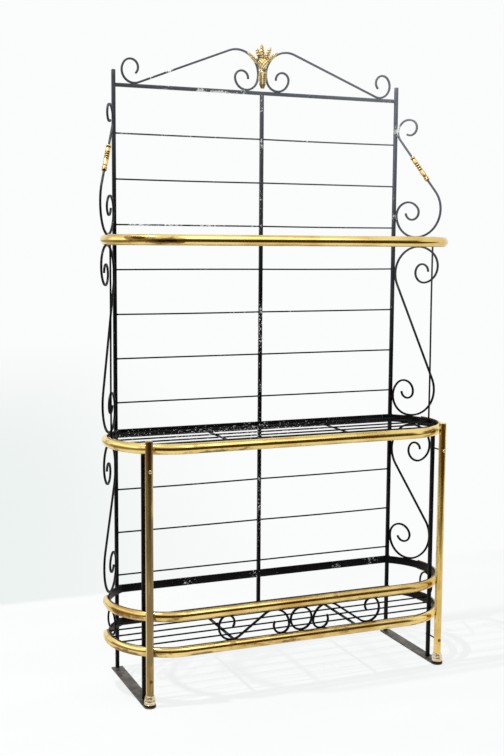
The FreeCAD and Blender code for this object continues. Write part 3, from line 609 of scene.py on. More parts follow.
class Sheet:
    """A material's node tree, written one node at a time."""

    def __init__(self, name: str) -> None:
        """Start an empty material with one output.

        Args:
            name: the material's name.
        """
        self.material = bpy.data.materials.new(name)
        self.material.use_nodes = True
        self.tree = self.material.node_tree
        self.tree.nodes.clear()
        self.output = self.tree.nodes.new("ShaderNodeOutputMaterial")

    def add(self, kind: str, inputs: dict | None = None, **settings: object) -> bpy.types.Node:
        """Add a node.

        Args:
            kind: the node type after ShaderNode.
            inputs: values or sockets for its inputs, by name or number.
            settings: values for its own properties.

        Returns:
            The node.
        """
        node = self.tree.nodes.new("ShaderNode" + kind)
        for key, value in settings.items():
            setattr(node, key, value)
        for key, value in (inputs or {}).items():
            if isinstance(value, bpy.types.NodeSocket):
                self.tree.links.new(value, node.inputs[key])
            else:
                node.inputs[key].default_value = value
        return node

    def math(self, operation: str, *values: object, clamp: bool = False) -> bpy.types.NodeSocket:
        """One sum on numbers or sockets."""
        inputs = dict(enumerate(values))
        return self.add("Math", inputs, operation=operation, use_clamp=clamp).outputs[0]

    def times(self, *values: object, clamp: bool = False) -> bpy.types.NodeSocket:
        """The product of two numbers or sockets."""
        return self.math("MULTIPLY", *values, clamp=clamp)

    def plus(self, *values: object, clamp: bool = False) -> bpy.types.NodeSocket:
        """The sum of two numbers or sockets."""
        return self.math("ADD", *values, clamp=clamp)

    def place(self) -> bpy.types.NodeSocket:
        """The point on the object, in metres."""
        return self.add("TexCoord").outputs["Object"]

    def axes(self, vector: object) -> bpy.types.NodeOutputs:
        """The three parts of a vector, under X, Y and Z."""
        return self.add("SeparateXYZ", {0: vector}).outputs

    def weight(self, name: str) -> bpy.types.NodeSocket:
        """A weight that the mesh's points carry."""
        return self.add("Attribute", attribute_name=name).outputs["Fac"]

    def run(self) -> bpy.types.NodeSocket:
        """Distance along a piece as X and around its section as Y."""
        return self.add("UVMap", uv_map=RUN_MAP).outputs[0]

    def bump(self, height: object, strength: float, depth: float) -> bpy.types.NodeSocket:
        """A normal roughened by a height, down to so many metres."""
        inputs = {"Strength": strength, "Distance": depth, "Height": height}
        return self.add("Bump", inputs).outputs[0]

    def ramp(self, value: object, low: float, high: float) -> bpy.types.NodeSocket:
        """A smooth step from 0 at low to 1 at high."""
        inputs, kind = {0: value, 1: low, 2: high}, "SMOOTHSTEP"
        return self.add("MapRange", inputs, interpolation_type=kind, clamp=True).outputs[0]

    def noise(self, vector: object, of: Noise) -> bpy.types.NodeSocket:
        """Noise of a kind at a place."""
        inputs = {"Vector": vector, "Scale": of.scale, "Detail": of.detail, "Roughness": of.rough}
        return self.add("TexNoise", inputs).outputs["Fac"]

    def stretched(self, vector: object, scale: Point) -> bpy.types.NodeSocket:
        """Coordinates scaled by a different factor on each axis."""
        return self.add("Mapping", {"Vector": vector, "Scale": scale}).outputs[0]

    def mix(self, share: object, first: object, second: object) -> bpy.types.NodeSocket:
        """A colour between two colours, whose sockets stand at 6 and 7."""
        return self.add("Mix", {0: share, 6: first, 7: second}, data_type="RGBA").outputs[2]

    def finish(self, shader: bpy.types.Node) -> bpy.types.Material:
        """Join the shader to the output and hand the material over."""
        self.tree.links.new(shader.outputs[0], self.output.inputs["Surface"])
        return self.material


def rgb(red: float, green: float, blue: float) -> Colour:
    """A colour in linear light with full alpha.

    Args:
        red: 0 to 255, as a screen shows it.
        green: likewise.
        blue: likewise.

    Returns:
        The four parts.
    """
    parts = (value / 255 for value in (red, green, blue))
    linear = [p / 12.92 if p <= 0.04045 else ((p + 0.055) / 1.055) ** 2.4 for p in parts]
    return (*linear, 1.0)


@dataclass(frozen=True)
class PaintedIron:
    """Satin black paint on wrought iron, chipped at its edges, with a painted grey sheen towards
    the top.

    Pairs are the values between which a ramp climbs.
    """

    name: str
    coat: Colour = rgb(6, 6, 7)
    dust: Colour = rgb(30, 31, 32)
    # painted sheen: the grey that the paint turns towards the top and right, where the light falls
    painted_sheen: Colour = rgb(111, 116, 122)
    primer: Colour = rgb(222, 222, 219)
    rust: Colour = rgb(70, 58, 48)
    sheen_from: float = 1.22
    sheen_lean: float = 0.45
    sheen_bend: float = 1.8
    chip_level: float = 0.80
    chip_soft: float = 0.03
    chip_edge: float = 0.05
    chip_patch: float = 0.12
    chip_scuff: float = 0.155
    dusty: Flat = (0.45, 0.75)
    dust_share: float = 0.5
    rusty: Flat = (0.6, 0.72)
    rust_share: float = 0.3
    cloud: Noise = Noise(9.0, 4.0)
    wear: Noise = Noise(55.0, 4.0, 0.7)
    speck: Noise = Noise(150.0, 3.0, 0.75)
    region: Noise = Noise(14.0, 2.0)
    fine: Noise = Noise(420.0, 3.0, 0.6)
    clouding: float = 0.2
    roughness: float = 0.42
    gloss: float = 0.1
    bump: float = 0.35
    fine_height: float = 0.4
    chip_height: float = 0.6

    def build(self) -> bpy.types.Material:
        """Paint with a painted grey sheen towards the top and right, dust, pale chips and a brushed
        bump.

        Share of the painted sheen = (z + lean * x - from) to the power bend, with the
        clouds moving the start by half their weight either way.  Paint is off
        where a fine noise and the weights of edge, patch and scuff pass a level.

        Returns:
            The material.
        """
        s = Sheet(self.name)
        place = s.place()
        edge, scuff, axes = s.weight(WEAR_AND_SHADE), s.weight(SCUFF), s.axes(place)
        cloud = s.noise(place, self.cloud)
        dusty = s.times(s.ramp(cloud, *self.dusty), self.dust_share)
        colour = s.mix(dusty, self.coat, self.dust)
        worn = s.ramp(s.noise(place, self.wear), *self.rusty)
        colour = s.mix(s.times(worn, self.rust_share), colour, self.rust)
        # painted sheen: the grey rises with height and to the right, standing in for the light on
        # the satin paint
        lean = s.plus(axes["Z"], s.times(axes["X"], self.sheen_lean))
        lean = s.plus(lean, s.times(cloud, self.clouding))
        above = s.math("SUBTRACT", lean, self.sheen_from + self.clouding / 2, clamp=True)
        colour = s.mix(s.math("POWER", above, self.sheen_bend), colour, self.painted_sheen)
        speck, region = s.noise(place, self.speck), s.noise(place, self.region)
        level = s.plus(s.times(edge, self.chip_edge), s.times(region, self.chip_patch))
        level = s.plus(level, s.times(scuff, self.chip_scuff))
        bare = self.chip_level + self.chip_soft
        chip = s.ramp(s.plus(speck, level), self.chip_level, bare)
        colour = s.mix(chip, colour, self.primer)
        rough = s.plus(s.times(cloud, self.clouding), self.roughness - self.clouding / 2)
        fine = s.times(s.noise(place, self.fine), self.fine_height)
        height = s.math("SUBTRACT", fine, s.times(chip, self.chip_height))
        shader = s.add(
            "BsdfPrincipled",
            {
                "Base Color": colour,
                "Roughness": rough,
                "Normal": s.bump(height, self.bump, 0.4 * MM),
                "Specular IOR Level": self.gloss,
            },
        )
        return s.finish(shader)


@dataclass(frozen=True)
class Brass:
    """Brass with brown tarnish, dark specks, fine polishing lines and painted shade at its edges
    and in its hollows.

    The two edges with painted shade and the bare strip are distances round the
    section in metres.  The stain is two heights, from none to full, and its amount.
    Pairs are the values between which a ramp climbs.
    """

    name: str
    clean: Colour = rgb(245, 219, 140)
    deep: Colour = rgb(215, 181, 100)
    # brown for tarnish patches, and for the painted shade at the lower edge and in hollows
    tarnish_and_shade: Colour = rgb(112, 78, 32)
    # dark brown for specks and smudges, and for the painted shade along the top edge
    dirt_and_shade: Colour = rgb(44, 30, 14)
    roughness: float = 0.12
    tarnish_share: float = 0.35
    veil: float = 0.0
    stain: Point = (0.0, 1.0, 0.0)
    weave: Point = (1.0, 1.6, 2.6)
    dulling: float = 0.3
    low_reflection_edge: float = 0.0
    top_shade_edge: float = 0.0
    bare: Flat = (0.0, 0.0)
    hollow_shade: float = 0.0
    black_foot: float = 0.0
    grain: float = 0.0
    bump: float = 0.16
    bare_share: float = 0.85
    brown_share: float = 0.85
    smudge_share: float = 0.2
    speck_share: float = 0.8
    soot_share: float = 0.9
    line_depth: float = 0.12
    grain_depth: float = 0.15
    low_reflection_width: float = 6 * MM
    low_reflection_patch: Flat = (0.4, 0.6)
    low_reflection_share: Flat = (0.5, 0.4)
    strip_soft: float = 2 * MM
    top_shade_share: float = 0.9
    cloudy: Flat = (0.35, 0.7)
    clouding: float = 0.08
    brown_from: float = 0.66
    brown_reach: float = 0.2
    brown_full: float = 0.78
    specked: Flat = (0.70, 0.76)
    sooty: Flat = (1.0, 1.5)
    hollow_shade_ramp: Flat = (0.3, 0.85)
    line_weave: Point = (30.0, 30.0, 500.0)
    cloud: Noise = Noise(7.0, 4.0)
    patch: Noise = Noise(16.0, 5.0, 0.65)
    speck: Noise = Noise(130.0, 3.0, 0.7)
    lines: Noise = Noise(3.0, 2.0)
    fine: Noise = Noise(260.0, 4.0, 0.65)

    def edges(self, s: Sheet, around: object, patch: object, brown: object) -> object:
        """A painted dark reflection of the underside at the lower edge, and less tarnish on the
        bare strip.

        Args:
            s: the sheet.
            around: distance round the section.
            patch: noise that varies the lower edge's painted reflection.
            brown: share of tarnish so far.

        Returns:
            The new share of tarnish and painted reflection.
        """
        # painted shade: the lower edge turns brown, standing in for the reflection of the dark
        # underside; the patch noise breaks it up
        if self.low_reflection_edge:
            rim = s.ramp(around, self.low_reflection_edge, self.low_reflection_edge + self.low_reflection_width)
            least, more = self.low_reflection_share
            share = s.plus(s.times(s.ramp(patch, *self.low_reflection_patch), more), least)
            brown = s.math("MAXIMUM", brown, s.times(rim, share))
        if any(self.bare):
            first, last = self.bare
            begins = s.ramp(around, first - self.strip_soft, first + MM)
            strip = s.times(begins, s.ramp(around, last + self.strip_soft, last - MM))
            kept = s.math("SUBTRACT", 1.0, s.times(strip, self.bare_share))
            brown = s.times(brown, kept)
        return brown

    def build(self) -> bpy.types.Material:
        """Clean and deep brass, tarnish in patches, painted shade at the edges and in grooves,
        specks.

        Returns:
            The material.
        """
        s = Sheet(self.name)
        place = s.place()
        cloud = s.noise(place, self.cloud)
        colour = s.mix(s.ramp(cloud, *self.cloudy), self.clean, self.deep)
        patch = s.noise(s.stretched(place, self.weave), self.patch)
        parts, height = s.axes(s.run()), s.axes(place)["Z"]
        start, full, amount = self.stain
        spread = s.plus(patch, s.times(s.ramp(height, start, full), amount))
        smudge = s.weight(SCUFF)
        spread = s.plus(spread, s.times(smudge, self.smudge_share))
        spread = s.plus(spread, self.veil)
        begins = self.brown_from - self.brown_reach * self.tarnish_share
        brown = s.times(s.ramp(spread, begins, self.brown_full), self.brown_share, clamp=True)
        brown = self.edges(s, parts["Y"], patch, brown)
        colour = s.mix(brown, colour, self.tarnish_and_shade)
        speck = s.ramp(s.noise(place, self.speck), *self.specked)
        colour = s.mix(s.times(speck, self.speck_share), colour, self.dirt_and_shade)
        soot = s.ramp(s.times(smudge, patch), *self.sooty)
        colour = s.mix(s.times(soot, self.soot_share), colour, self.dirt_and_shade)
        # painted shade in the hollows of cast and turned pieces, in the tarnish colour
        groove = s.times(s.ramp(s.weight(WEAR_AND_SHADE), *self.hollow_shade_ramp), self.hollow_shade)
        colour = s.mix(groove, colour, self.tarnish_and_shade)
        # painted shade: a dark line along the top edge, where the rail meets the iron band
        if self.top_shade_edge:
            top_shade = s.ramp(parts["Y"], self.top_shade_edge + MM, self.top_shade_edge - MM)
            colour = s.mix(s.times(top_shade, self.top_shade_share), colour, self.dirt_and_shade)
        if self.black_foot:
            foot = s.ramp(parts["X"], self.black_foot + MM, self.black_foot - MM)
            colour = s.mix(foot, colour, self.dirt_and_shade)
        dull = s.times(s.plus(brown, speck, clamp=True), self.dulling)
        rough = s.plus(s.times(cloud, self.clouding), self.roughness)
        rough = s.plus(rough, dull)
        lines = s.noise(s.stretched(place, self.line_weave), self.lines)
        deep = s.times(s.noise(place, self.fine), self.grain_depth + self.grain)
        height = s.plus(s.times(lines, self.line_depth), deep)
        bump = s.bump(height, self.bump, 0.4 * MM)
        shader = s.add(
            "BsdfPrincipled",
            {"Base Color": colour, "Metallic": 1.0, "Roughness": rough, "Normal": bump},
        )
        return s.finish(shader)


@dataclass(frozen=True)
class WornSteel:
    """Flat bar whose paint has gone thin: grey brown with rubbed patches."""

    name: str
    coat: Colour = rgb(96, 88, 78)
    rubbed: Colour = rgb(138, 128, 112)
    stain: Colour = rgb(50, 46, 42)
    stained: Flat = (0.42, 0.62)
    scratched: Flat = (0.56, 0.68)
    scratch_weave: Point = (6.0, 1.0, 1.0)
    cloud: Noise = Noise(26.0, 5.0, 0.65)
    scratch: Noise = Noise(60.0, 4.0, 0.7)
    fine: Noise = Noise(240.0, 4.0, 0.7)
    metal: float = 0.35
    roughness: float = 0.35
    roughening: float = 0.3
    bump: float = 0.4

    def build(self) -> bpy.types.Material:
        """Three greys in clouds and scratches, with a coarse bump.

        Returns:
            The material.
        """
        s = Sheet(self.name)
        place = s.place()
        cloud = s.noise(place, self.cloud)
        colour = s.mix(s.ramp(cloud, *self.stained), self.stain, self.coat)
        scratch = s.noise(s.stretched(place, self.scratch_weave), self.scratch)
        colour = s.mix(s.ramp(scratch, *self.scratched), colour, self.rubbed)
        fine = s.noise(place, self.fine)
        shader = s.add(
            "BsdfPrincipled",
            {
                "Base Color": colour,
                "Metallic": self.metal,
                "Roughness": s.plus(s.times(fine, self.roughening), self.roughness),
                "Normal": s.bump(fine, self.bump, 0.5 * MM),
            },
        )
        return s.finish(shader)


@dataclass
class Finishes:
    """Every material of the rack, built once."""

    iron: bpy.types.Material = field(init=False)
    rail: bpy.types.Material = field(init=False)
    low_rail: bpy.types.Material = field(init=False)
    tubes: dict[Side, bpy.types.Material] = field(init=False)
    cast: bpy.types.Material = field(init=False)
    spindle: bpy.types.Material = field(init=False)
    dull_bolt: bpy.types.Material = field(init=False)
    shoe: bpy.types.Material = field(init=False)
    bolt: bpy.types.Material = field(init=False)
    steel: bpy.types.Material = field(init=False)

    def __post_init__(self) -> None:
        """Build the materials."""
        self.iron = PaintedIron("black_paint").build()
        self.rail = Brass("rail_brass", low_reflection_edge=43 * MM).build()
        self.low_rail = Brass(
            "low_rail_brass", clean=rgb(247, 219, 143), deep=rgb(203, 166, 92), tarnish_share=0.56,
            low_reflection_edge=39 * MM, top_shade_edge=5.5 * MM,
        ).build()
        self.tubes = {
            Side.LEFT: Brass(
                "tube_brass_left", clean=rgb(246, 221, 150), deep=rgb(218, 186, 112),
                tarnish_and_shade=rgb(118, 94, 64), tarnish_share=0.9, roughness=0.15,
                veil=0.18, stain=(0.62, 0.42, 0.14), weave=(3.0, 3.0, 0.3), dulling=0.12,
                bare=(39 * MM, 45 * MM),
            ).build(),
            Side.RIGHT: Brass(
                "tube_brass_right", clean=rgb(240, 211, 128), deep=rgb(210, 176, 96),
                tarnish_share=0.6, roughness=0.14, weave=(3.0, 3.0, 0.35),
            ).build(),
        }
        self.cast = Brass(
            "cast_brass", clean=rgb(248, 232, 182), deep=rgb(228, 198, 130), roughness=0.28,
            hollow_shade=0.72, grain=0.6,
        ).build()
        self.spindle = Brass(
            "spindle_brass", clean=rgb(236, 206, 142), deep=rgb(206, 158, 86), roughness=0.27,
            hollow_shade=0.9, grain=0.6,
        ).build()
        self.dull_bolt = Brass(
            "dull_bolt_brass", clean=rgb(176, 130, 70), deep=rgb(120, 80, 42), roughness=0.34
        ).build()
        self.shoe = Brass(
            "shoe_brass", clean=rgb(250, 240, 216), deep=rgb(226, 204, 160),
            tarnish_and_shade=rgb(116, 92, 62), tarnish_share=0.7, weave=(6.0, 6.0, 9.0), roughness=0.3,
            black_foot=9 * MM, grain=0.8,
        ).build()
        self.bolt = Brass(
            "bolt_brass", clean=rgb(236, 222, 196), deep=rgb(212, 190, 150), roughness=0.3
        ).build()
        self.steel = WornSteel("foot_steel").build()


# ---------------------------------------------------------------------------
# The rack's own measures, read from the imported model


@dataclass
class Rack:
    """Sizes and places that several sub-assemblies share."""

    post: float = field(init=False)
    post_x: float = field(init=False)
    rear_y: float = field(init=False)
    top_bar: float = field(init=False)
    band_height: float = field(init=False)
    front_y: float = field(init=False)
    arc_x: float = field(init=False)
    arc_y: float = field(init=False)
    levels: dict[Shelf, float] = field(init=False)
    band_thick: float = 4.5 * MM
    ring_radius: float = 202 * MM
    gap: float = 0.15 * MM
    bar: float = 6.5 * MM
    skin: float = 0.25 * MM

    def __post_init__(self) -> None:
        """Read the nodes' boxes."""
        low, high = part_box("rear_post_right")
        self.post = high.x - low.x
        self.post_x, self.rear_y, _ = middle("rear_post_right")
        self.top_bar = middle("top_bar")[2]
        self.levels = {shelf: middle(shelf.band)[2] for shelf in Shelf}
        low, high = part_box(Shelf.BOTTOM.band)
        self.band_height = high.z - low.z
        self.front_y = low.y
        self.arc_x = high.x - self.ring_radius
        self.arc_y = self.front_y + self.ring_radius

    def band_top(self, shelf: Shelf) -> float:
        """Upper edge of a ring's band."""
        return self.levels[shelf] + self.band_height / 2

    def band_bottom(self, shelf: Shelf) -> float:
        """Lower edge of a ring's band."""
        return self.levels[shelf] - self.band_height / 2

    @property
    def painted_bar(self) -> float:
        """Scroll bar with its coats of paint."""
        return self.bar + 2 * self.skin

    @property
    def inner_radius(self) -> float:
        """Inner radius of the rings' round ends."""
        return self.ring_radius - self.band_thick

    @property
    def band_rear(self) -> float:
        """Rear face of the rings' straight rear bar: the posts' front face."""
        return self.rear_y - self.post / 2


# ---------------------------------------------------------------------------
# Sub-assemblies


@dataclass
class RearFrame:
    """Posts, top bar, centre upright and the rows of thin rods between them."""

    rack: Rack
    finishes: Finishes
    rod: float = 5 * MM
    rod_pitch: float = 152.4 * MM
    rod_count: int = 11
    corner: float = 1.1 * MM
    peened: float = 0.86
    weld: float = 0.55
    weld_rate: float = 320.0
    bow: Flat = (-0.6 * MM, 1.2 * MM)
    seed: int = 7

    def upright_bar(self, node: str) -> Patch:
        """A square bar standing in a node's box, its top a little peened.

        Args:
            node: the bar's node.

        Returns:
            The bar.
        """
        low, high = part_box(node)
        x, y, _ = middle(node)
        rise = (high.z - low.z - self.corner) / (high.z - low.z)
        shares = np.append(even(90, 0.01), rise)
        line = straight((x, y, low.z), (x, y, high.z), np.sort(shares))
        section = rounded_bar(high.x - low.x, high.y - low.y, self.corner)
        return sweep(line, ACROSS, section, np.append(np.ones(len(line) - 1), self.peened))

    def crossing_bar(self) -> Patch:
        """The square bar between the posts' tops.

        Returns:
            The bar.
        """
        low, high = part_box("top_bar")
        _, y, z = middle("top_bar")
        section = rounded_bar(high.y - low.y, high.z - low.z, self.corner)
        return sweep(straight((low.x, y, z), (high.x, y, z), even(99, 0.01)), BACKWARDS, section)

    def rod_rows(self) -> list[Patch]:
        """The thin rods, each with a small weld where it meets a bar.

        The rod bows down by bow * (1 - (2 t - 1)^2) along its length, and its
        ends swell over the last few millimetres.

        Returns:
            Two rods a row, from the top.
        """
        rack, rear = self.rack, self.rack.rear_y
        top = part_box("back_rods_left")[1].z - self.rod / 2
        half = rack.post / 2
        spans = ((half - rack.post_x, -half), (half, rack.post_x - half))
        section = round_rod(self.rod + 2 * rack.skin, 10)
        shares = np.concatenate([[0.004, 0.01], even(48, 0.03), [0.99, 0.996]])
        t = np.array([0.0, *shares, 1.0])
        scale = weld_swelling(t, self.weld, self.weld_rate)
        spread = np.random.default_rng(self.seed)
        rows = []
        for number in range(self.rod_count):
            z = top - number * self.rod_pitch
            for bow, (start, end) in zip(spread.uniform(*self.bow, 2), spans):
                line = straight((start, rear, z), (end, rear, z), shares)
                line[:, 2] -= bow * (1 - (2 * t - 1) ** 2)
                rows.append(sweep(line, BACKWARDS, section, scale))
        return rows

    def build(self) -> None:
        """Make the frame's pieces."""
        iron = self.finishes.iron
        for node in ("rear_post_left", "rear_post_right", "centre_upright"):
            Form(node + "_bar", [self.upright_bar(node)]).piece(iron, Slot.BLACK_IRON, node)
        Form("top_bar_square", [self.crossing_bar()]).piece(iron, Slot.BLACK_IRON, "top_bar")
        rods = Form("back_rod_rows", self.rod_rows())
        rods.piece(iron, Slot.BLACK_IRON, "back_rods_left", "back_rods_right")


@dataclass
class Ring:
    """One round-ended ring: iron band, brass rail, shelf rods and cross bars."""

    rack: Rack
    finishes: Finishes
    shelf: Shelf
    rail_height: float = 35 * MM
    wrap: float = 16.0
    band_corner: float = 0.9 * MM
    rod: float = 5 * MM
    rod_first: float = 40 * MM
    rod_pitch: float = 60.4 * MM
    rod_count: int = 6
    weld: float = 0.45
    weld_rate: float = 500.0
    wave: Flat = (-0.7 * MM, 0.2 * MM)
    seed: int = 11
    flat_width: float = 12 * MM
    flat_corner: float = 0.6 * MM
    tail: float = 546 * MM

    def front_line(self, radius: float, start: float) -> np.ndarray:
        """The ring's line at a radius: left end, straight front, right end.

        Args:
            radius: distance from the centres of the round ends.
            start: degrees that the line runs on behind the widest point.

        Returns:
            (n, 3) points at the ring's level.
        """
        rack = self.rack
        left = arc_points((-rack.arc_x, rack.arc_y), radius, 180 - start, 270, 3.0)
        right = arc_points((rack.arc_x, rack.arc_y), radius, 270, 360 + start, 3.0)
        front = straight((*left[-1], 0.0), (*right[0], 0.0), even(79, 0.01))[:, :2]
        flat = chain(left, front, right)
        return np.column_stack([flat, np.full(len(flat), rack.levels[self.shelf])])

    def band(self) -> list[Patch]:
        """The flat band round the front and the straight bar at the rear.

        Returns:
            The band and the bar.
        """
        rack = self.rack
        radius = rack.ring_radius - rack.band_thick / 2
        rear = rack.band_rear - rack.band_thick / 2
        reach = rear - rack.band_thick / 2 - rack.arc_y
        start = math.degrees(math.asin(reach / radius))
        section = rounded_bar(rack.band_height, rack.band_thick, self.band_corner)
        level = rack.levels[self.shelf]
        bar = straight((-self.tail, rear, level), (self.tail, rear, level), even(49, 0.02))
        return [sweep(self.front_line(radius, start), UP, section), sweep(bar, UP, section)]

    def rail(self) -> Patch:
        """The half-round brass rail on the band's outer face.

        The section is a half circle: u = r cos(a) up, v = r sin(a) outwards,
        closed by its flat back.

        Returns:
            The rail.
        """
        angle = np.linspace(0, math.pi, 25)
        outline = self.rail_height / 2 * np.stack([np.cos(angle), np.sin(angle)], axis=1)
        section = Section(outline, np.zeros(len(outline)))
        return sweep(self.front_line(self.rack.ring_radius, self.wrap), UP, section)

    def rods(self) -> list[Patch]:
        """The shelf rods between the ring's round ends.

        Each waves by wave * sin(pi * t) squared along its length.

        Returns:
            The rods, from the rear.
        """
        rack = self.rack
        z = middle(self.shelf.value + "_shelf_rods")[2]
        section = round_rod(self.rod + 2 * rack.skin, 10)
        shares = np.concatenate([[0.004], even(40, 0.03), [0.996]])
        t = np.array([0.0, *shares, 1.0])
        scale = weld_swelling(t, self.weld, self.weld_rate)
        spread = np.random.default_rng(self.seed + len(self.shelf.value))
        rods = []
        for number in range(self.rod_count):
            y = rack.rear_y - self.rod_first - number * self.rod_pitch
            reach = rack.arc_x + math.sqrt(rack.inner_radius**2 - (y - rack.arc_y) ** 2)
            line = straight((-reach, y, z), (reach, y, z), shares)
            line[:, 2] += spread.uniform(*self.wave) * np.sin(math.pi * t) ** 2
            rods.append(sweep(line, BACKWARDS, section, scale))
        return rods

    def cross_bars(self) -> list[Patch]:
        """The two flat bars under the rods.

        Returns:
            The bars.
        """
        node = self.shelf.value + "_cross_bars"
        low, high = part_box(node)
        z, half = middle(node)[2], self.flat_width / 2
        section = rounded_bar(self.flat_width, high.z - low.z, self.flat_corner)
        return [
            sweep(straight((x, low.y, z), (x, high.y, z)), ACROSS, section)
            for x in (low.x + half, high.x - half)
        ]

    def build(self) -> None:
        """Make the ring's pieces."""
        word, iron = self.shelf.value, self.finishes.iron
        Form(word + "_ring_band", self.band()).piece(iron, Slot.BLACK_IRON, self.shelf.band)
        low = self.shelf in (Shelf.GALLERY, Shelf.BOTTOM)
        finish = self.finishes.low_rail if low else self.finishes.rail
        Form(word + "_rail", [self.rail()]).piece(finish, Slot.BRASS, word + "_brass_rail")
        if self.shelf.has_rods:
            rods = Form(word + "_rods", self.rods())
            rods.piece(iron, Slot.BLACK_IRON, word + "_shelf_rods")
            flats = Form(word + "_cross_flats", self.cross_bars())
            flats.piece(iron, Slot.BLACK_IRON, word + "_cross_bars")


@dataclass(frozen=True)
class Curl:
    """The arcs of one end of a scroll, from the straight to the tip.

    Each arc is its radius in millimetres and the heading at its outer end in
    degrees, all turning clockwise.  A seat is (arc number, sign, place): that
    arc's furthest point in that sign's direction lies there.
    """

    arcs: tuple[tuple[float, float], ...]
    across: tuple[int, int, float]
    level: tuple[int, int, float]

    def centres(self) -> list[Flat]:
        """Centre of each arc: each is set off from the last along the normal.

        Returns:
            The centres, from the straight to the tip.
        """
        places = [(0.0, 0.0)]
        for (radius, heading), (following, _) in zip(self.arcs, self.arcs[1:]):
            step = (radius - following) * MM
            nx, nz = curl_normal(heading)
            places.append((places[-1][0] + step * nx, places[-1][1] + step * nz))
        number, sign, where = self.across
        move_x = where - sign * self.arcs[number][0] * MM - places[number][0]
        number, sign, where = self.level
        move_z = where - sign * self.arcs[number][0] * MM - places[number][1]
        return [(x + move_x, z + move_z) for x, z in places]


def curl_normal(heading: float) -> Flat:
    """Unit vector from a clockwise arc's centre to its point at that heading."""
    turn = math.radians(heading)
    return (-math.sin(turn), math.cos(turn))


def scroll_line(first: Curl, second: Curl) -> tuple[np.ndarray, np.ndarray]:
    """The plane line of a scroll from its first tip to its second.

    The straight is the common tangent of the two largest arcs, with one at
    each of its sides.

    Args:
        first: the curl at the start.
        second: the curl at the end.

    Returns:
        (n, 2) points of the line, and the straight's two ends.
    """
    one, two = first.centres(), second.centres()
    r_one, r_two = first.arcs[0][0] * MM, second.arcs[0][0] * MM
    dx, dz = two[0][0] - one[0][0], two[0][1] - one[0][1]
    heading = math.degrees(math.atan2(dz, dx) + math.asin((r_one + r_two) / math.hypot(dx, dz)))

    def arcs(centres: list[Flat], curl: Curl, entering: float) -> list[np.ndarray]:
        """Points of each arc of a curl, outwards from the straight.

        Args:
            centres: the arcs' centres.
            curl: the curl.
            entering: heading at the straight's end, in degrees.

        Returns:
            A run of points for each arc.
        """
        runs = []
        for centre, (radius, leaving) in zip(centres, curl.arcs):
            runs.append(arc_points(centre, radius * MM, entering + 90, leaving + 90))
            entering = leaving
        return runs

    start_runs = arcs(one, first, heading + 180)
    end_runs = arcs(two, second, heading)
    ends = np.array([start_runs[0][0], end_runs[0][0]])
    tip_first = [run[::-1] for run in reversed(start_runs)]
    between = ends[0] + (ends[1] - ends[0]) * even(33, 0.02)[:, None]
    return chain(*tip_first, between, *end_runs), ends


@dataclass
class SideScrolls:
    """The scrolls of square bar that brace the rings at both sides."""

    rack: Rack
    finishes: Finishes
    top_of_upper: float = 1951 * MM
    corner: float = 1.3 * MM
    angle: float = field(init=False)
    seat: float = field(init=False)
    post_seat: float = field(init=False)
    straights: dict[Side, np.ndarray] = field(init=False, default_factory=dict)

    def __post_init__(self) -> None:
        """Turn the scrolls' plane until it touches the bands' inner face."""
        rack = self.rack
        dx, dy = rack.post_x - rack.arc_x, rack.rear_y - rack.arc_y
        angle = math.atan2(dy, dx) - math.acos(rack.inner_radius / math.hypot(dx, dy))
        self.angle = angle
        self.seat = rack.bar / 2 + rack.gap
        self.post_seat = self.seat + rack.post / 2 * (math.sin(angle) + math.cos(angle))

    def curls(self) -> dict[str, tuple[Curl, Curl]]:
        """The two curls of each scroll.

        Returns:
            The upper and the lower curl, by the scroll's name.
        """
        rack, post, seat = self.rack, self.post_seat, self.seat
        return {
            "upper": (
                Curl(((44, -28), (27, -212)), (0, -1, post), (0, 1, self.top_of_upper)),
                Curl(
                    ((101, -189), (81, -266), (49, -415), (27.5, -622)),
                    (2, -1, post),
                    (0, -1, rack.band_top(Shelf.TOP) + seat),
                ),
            ),
            "middle": (
                Curl(
                    ((101, 20), (91, -42), (62.5, -169), (35.5, -315), (25, -456)),
                    (0, -1, post),
                    (1, 1, rack.band_bottom(Shelf.TOP) - seat),
                ),
                Curl(
                    ((102, -188), (69, -315), (39, -460), (24.5, -628)),
                    (1, -1, post),
                    (0, -1, rack.band_top(Shelf.MIDDLE) + seat),
                ),
            ),
            "lower": (
                Curl(
                    ((108, 46), (80, -33), (69, -152), (36, -315), (22.5, -452)),
                    (0, -1, post),
                    (1, 1, rack.band_bottom(Shelf.MIDDLE) - seat),
                ),
                Curl(
                    ((101, -155), (79, -277), (43.5, -428), (27, -611)),
                    (1, -1, post),
                    (1, -1, rack.band_top(Shelf.GALLERY) + seat),
                ),
            ),
        }

    def frame(self, side: Side) -> tuple[Point, Point, Point]:
        """The upright plane of a side's scrolls.

        Args:
            side: the end of the rack.

        Returns:
            Its origin, level direction and normal.
        """
        rack, sign = self.rack, side.value
        along = (sign * math.sin(self.angle), -math.cos(self.angle), 0.0)
        normal = (math.cos(self.angle), sign * math.sin(self.angle), 0.0)
        return (sign * rack.post_x, rack.rear_y, 0.0), along, normal

    def build(self) -> None:
        """Make each level's pair of scrolls."""
        section = rounded_bar(self.rack.painted_bar, self.rack.painted_bar, self.corner, 2)
        for name, curls in self.curls().items():
            line, ends = scroll_line(*curls)
            pair = []
            for side in Side:
                origin, along, normal = self.frame(side)
                pair.append(sweep(plane_to_space(line, origin, along), normal, section))
                if name == "upper":
                    self.straights[side] = plane_to_space(ends, origin, along)
            form = Form(name + "_scroll_pair", pair)
            form.piece(self.finishes.iron, Slot.BLACK_IRON, name + "_side_scrolls")


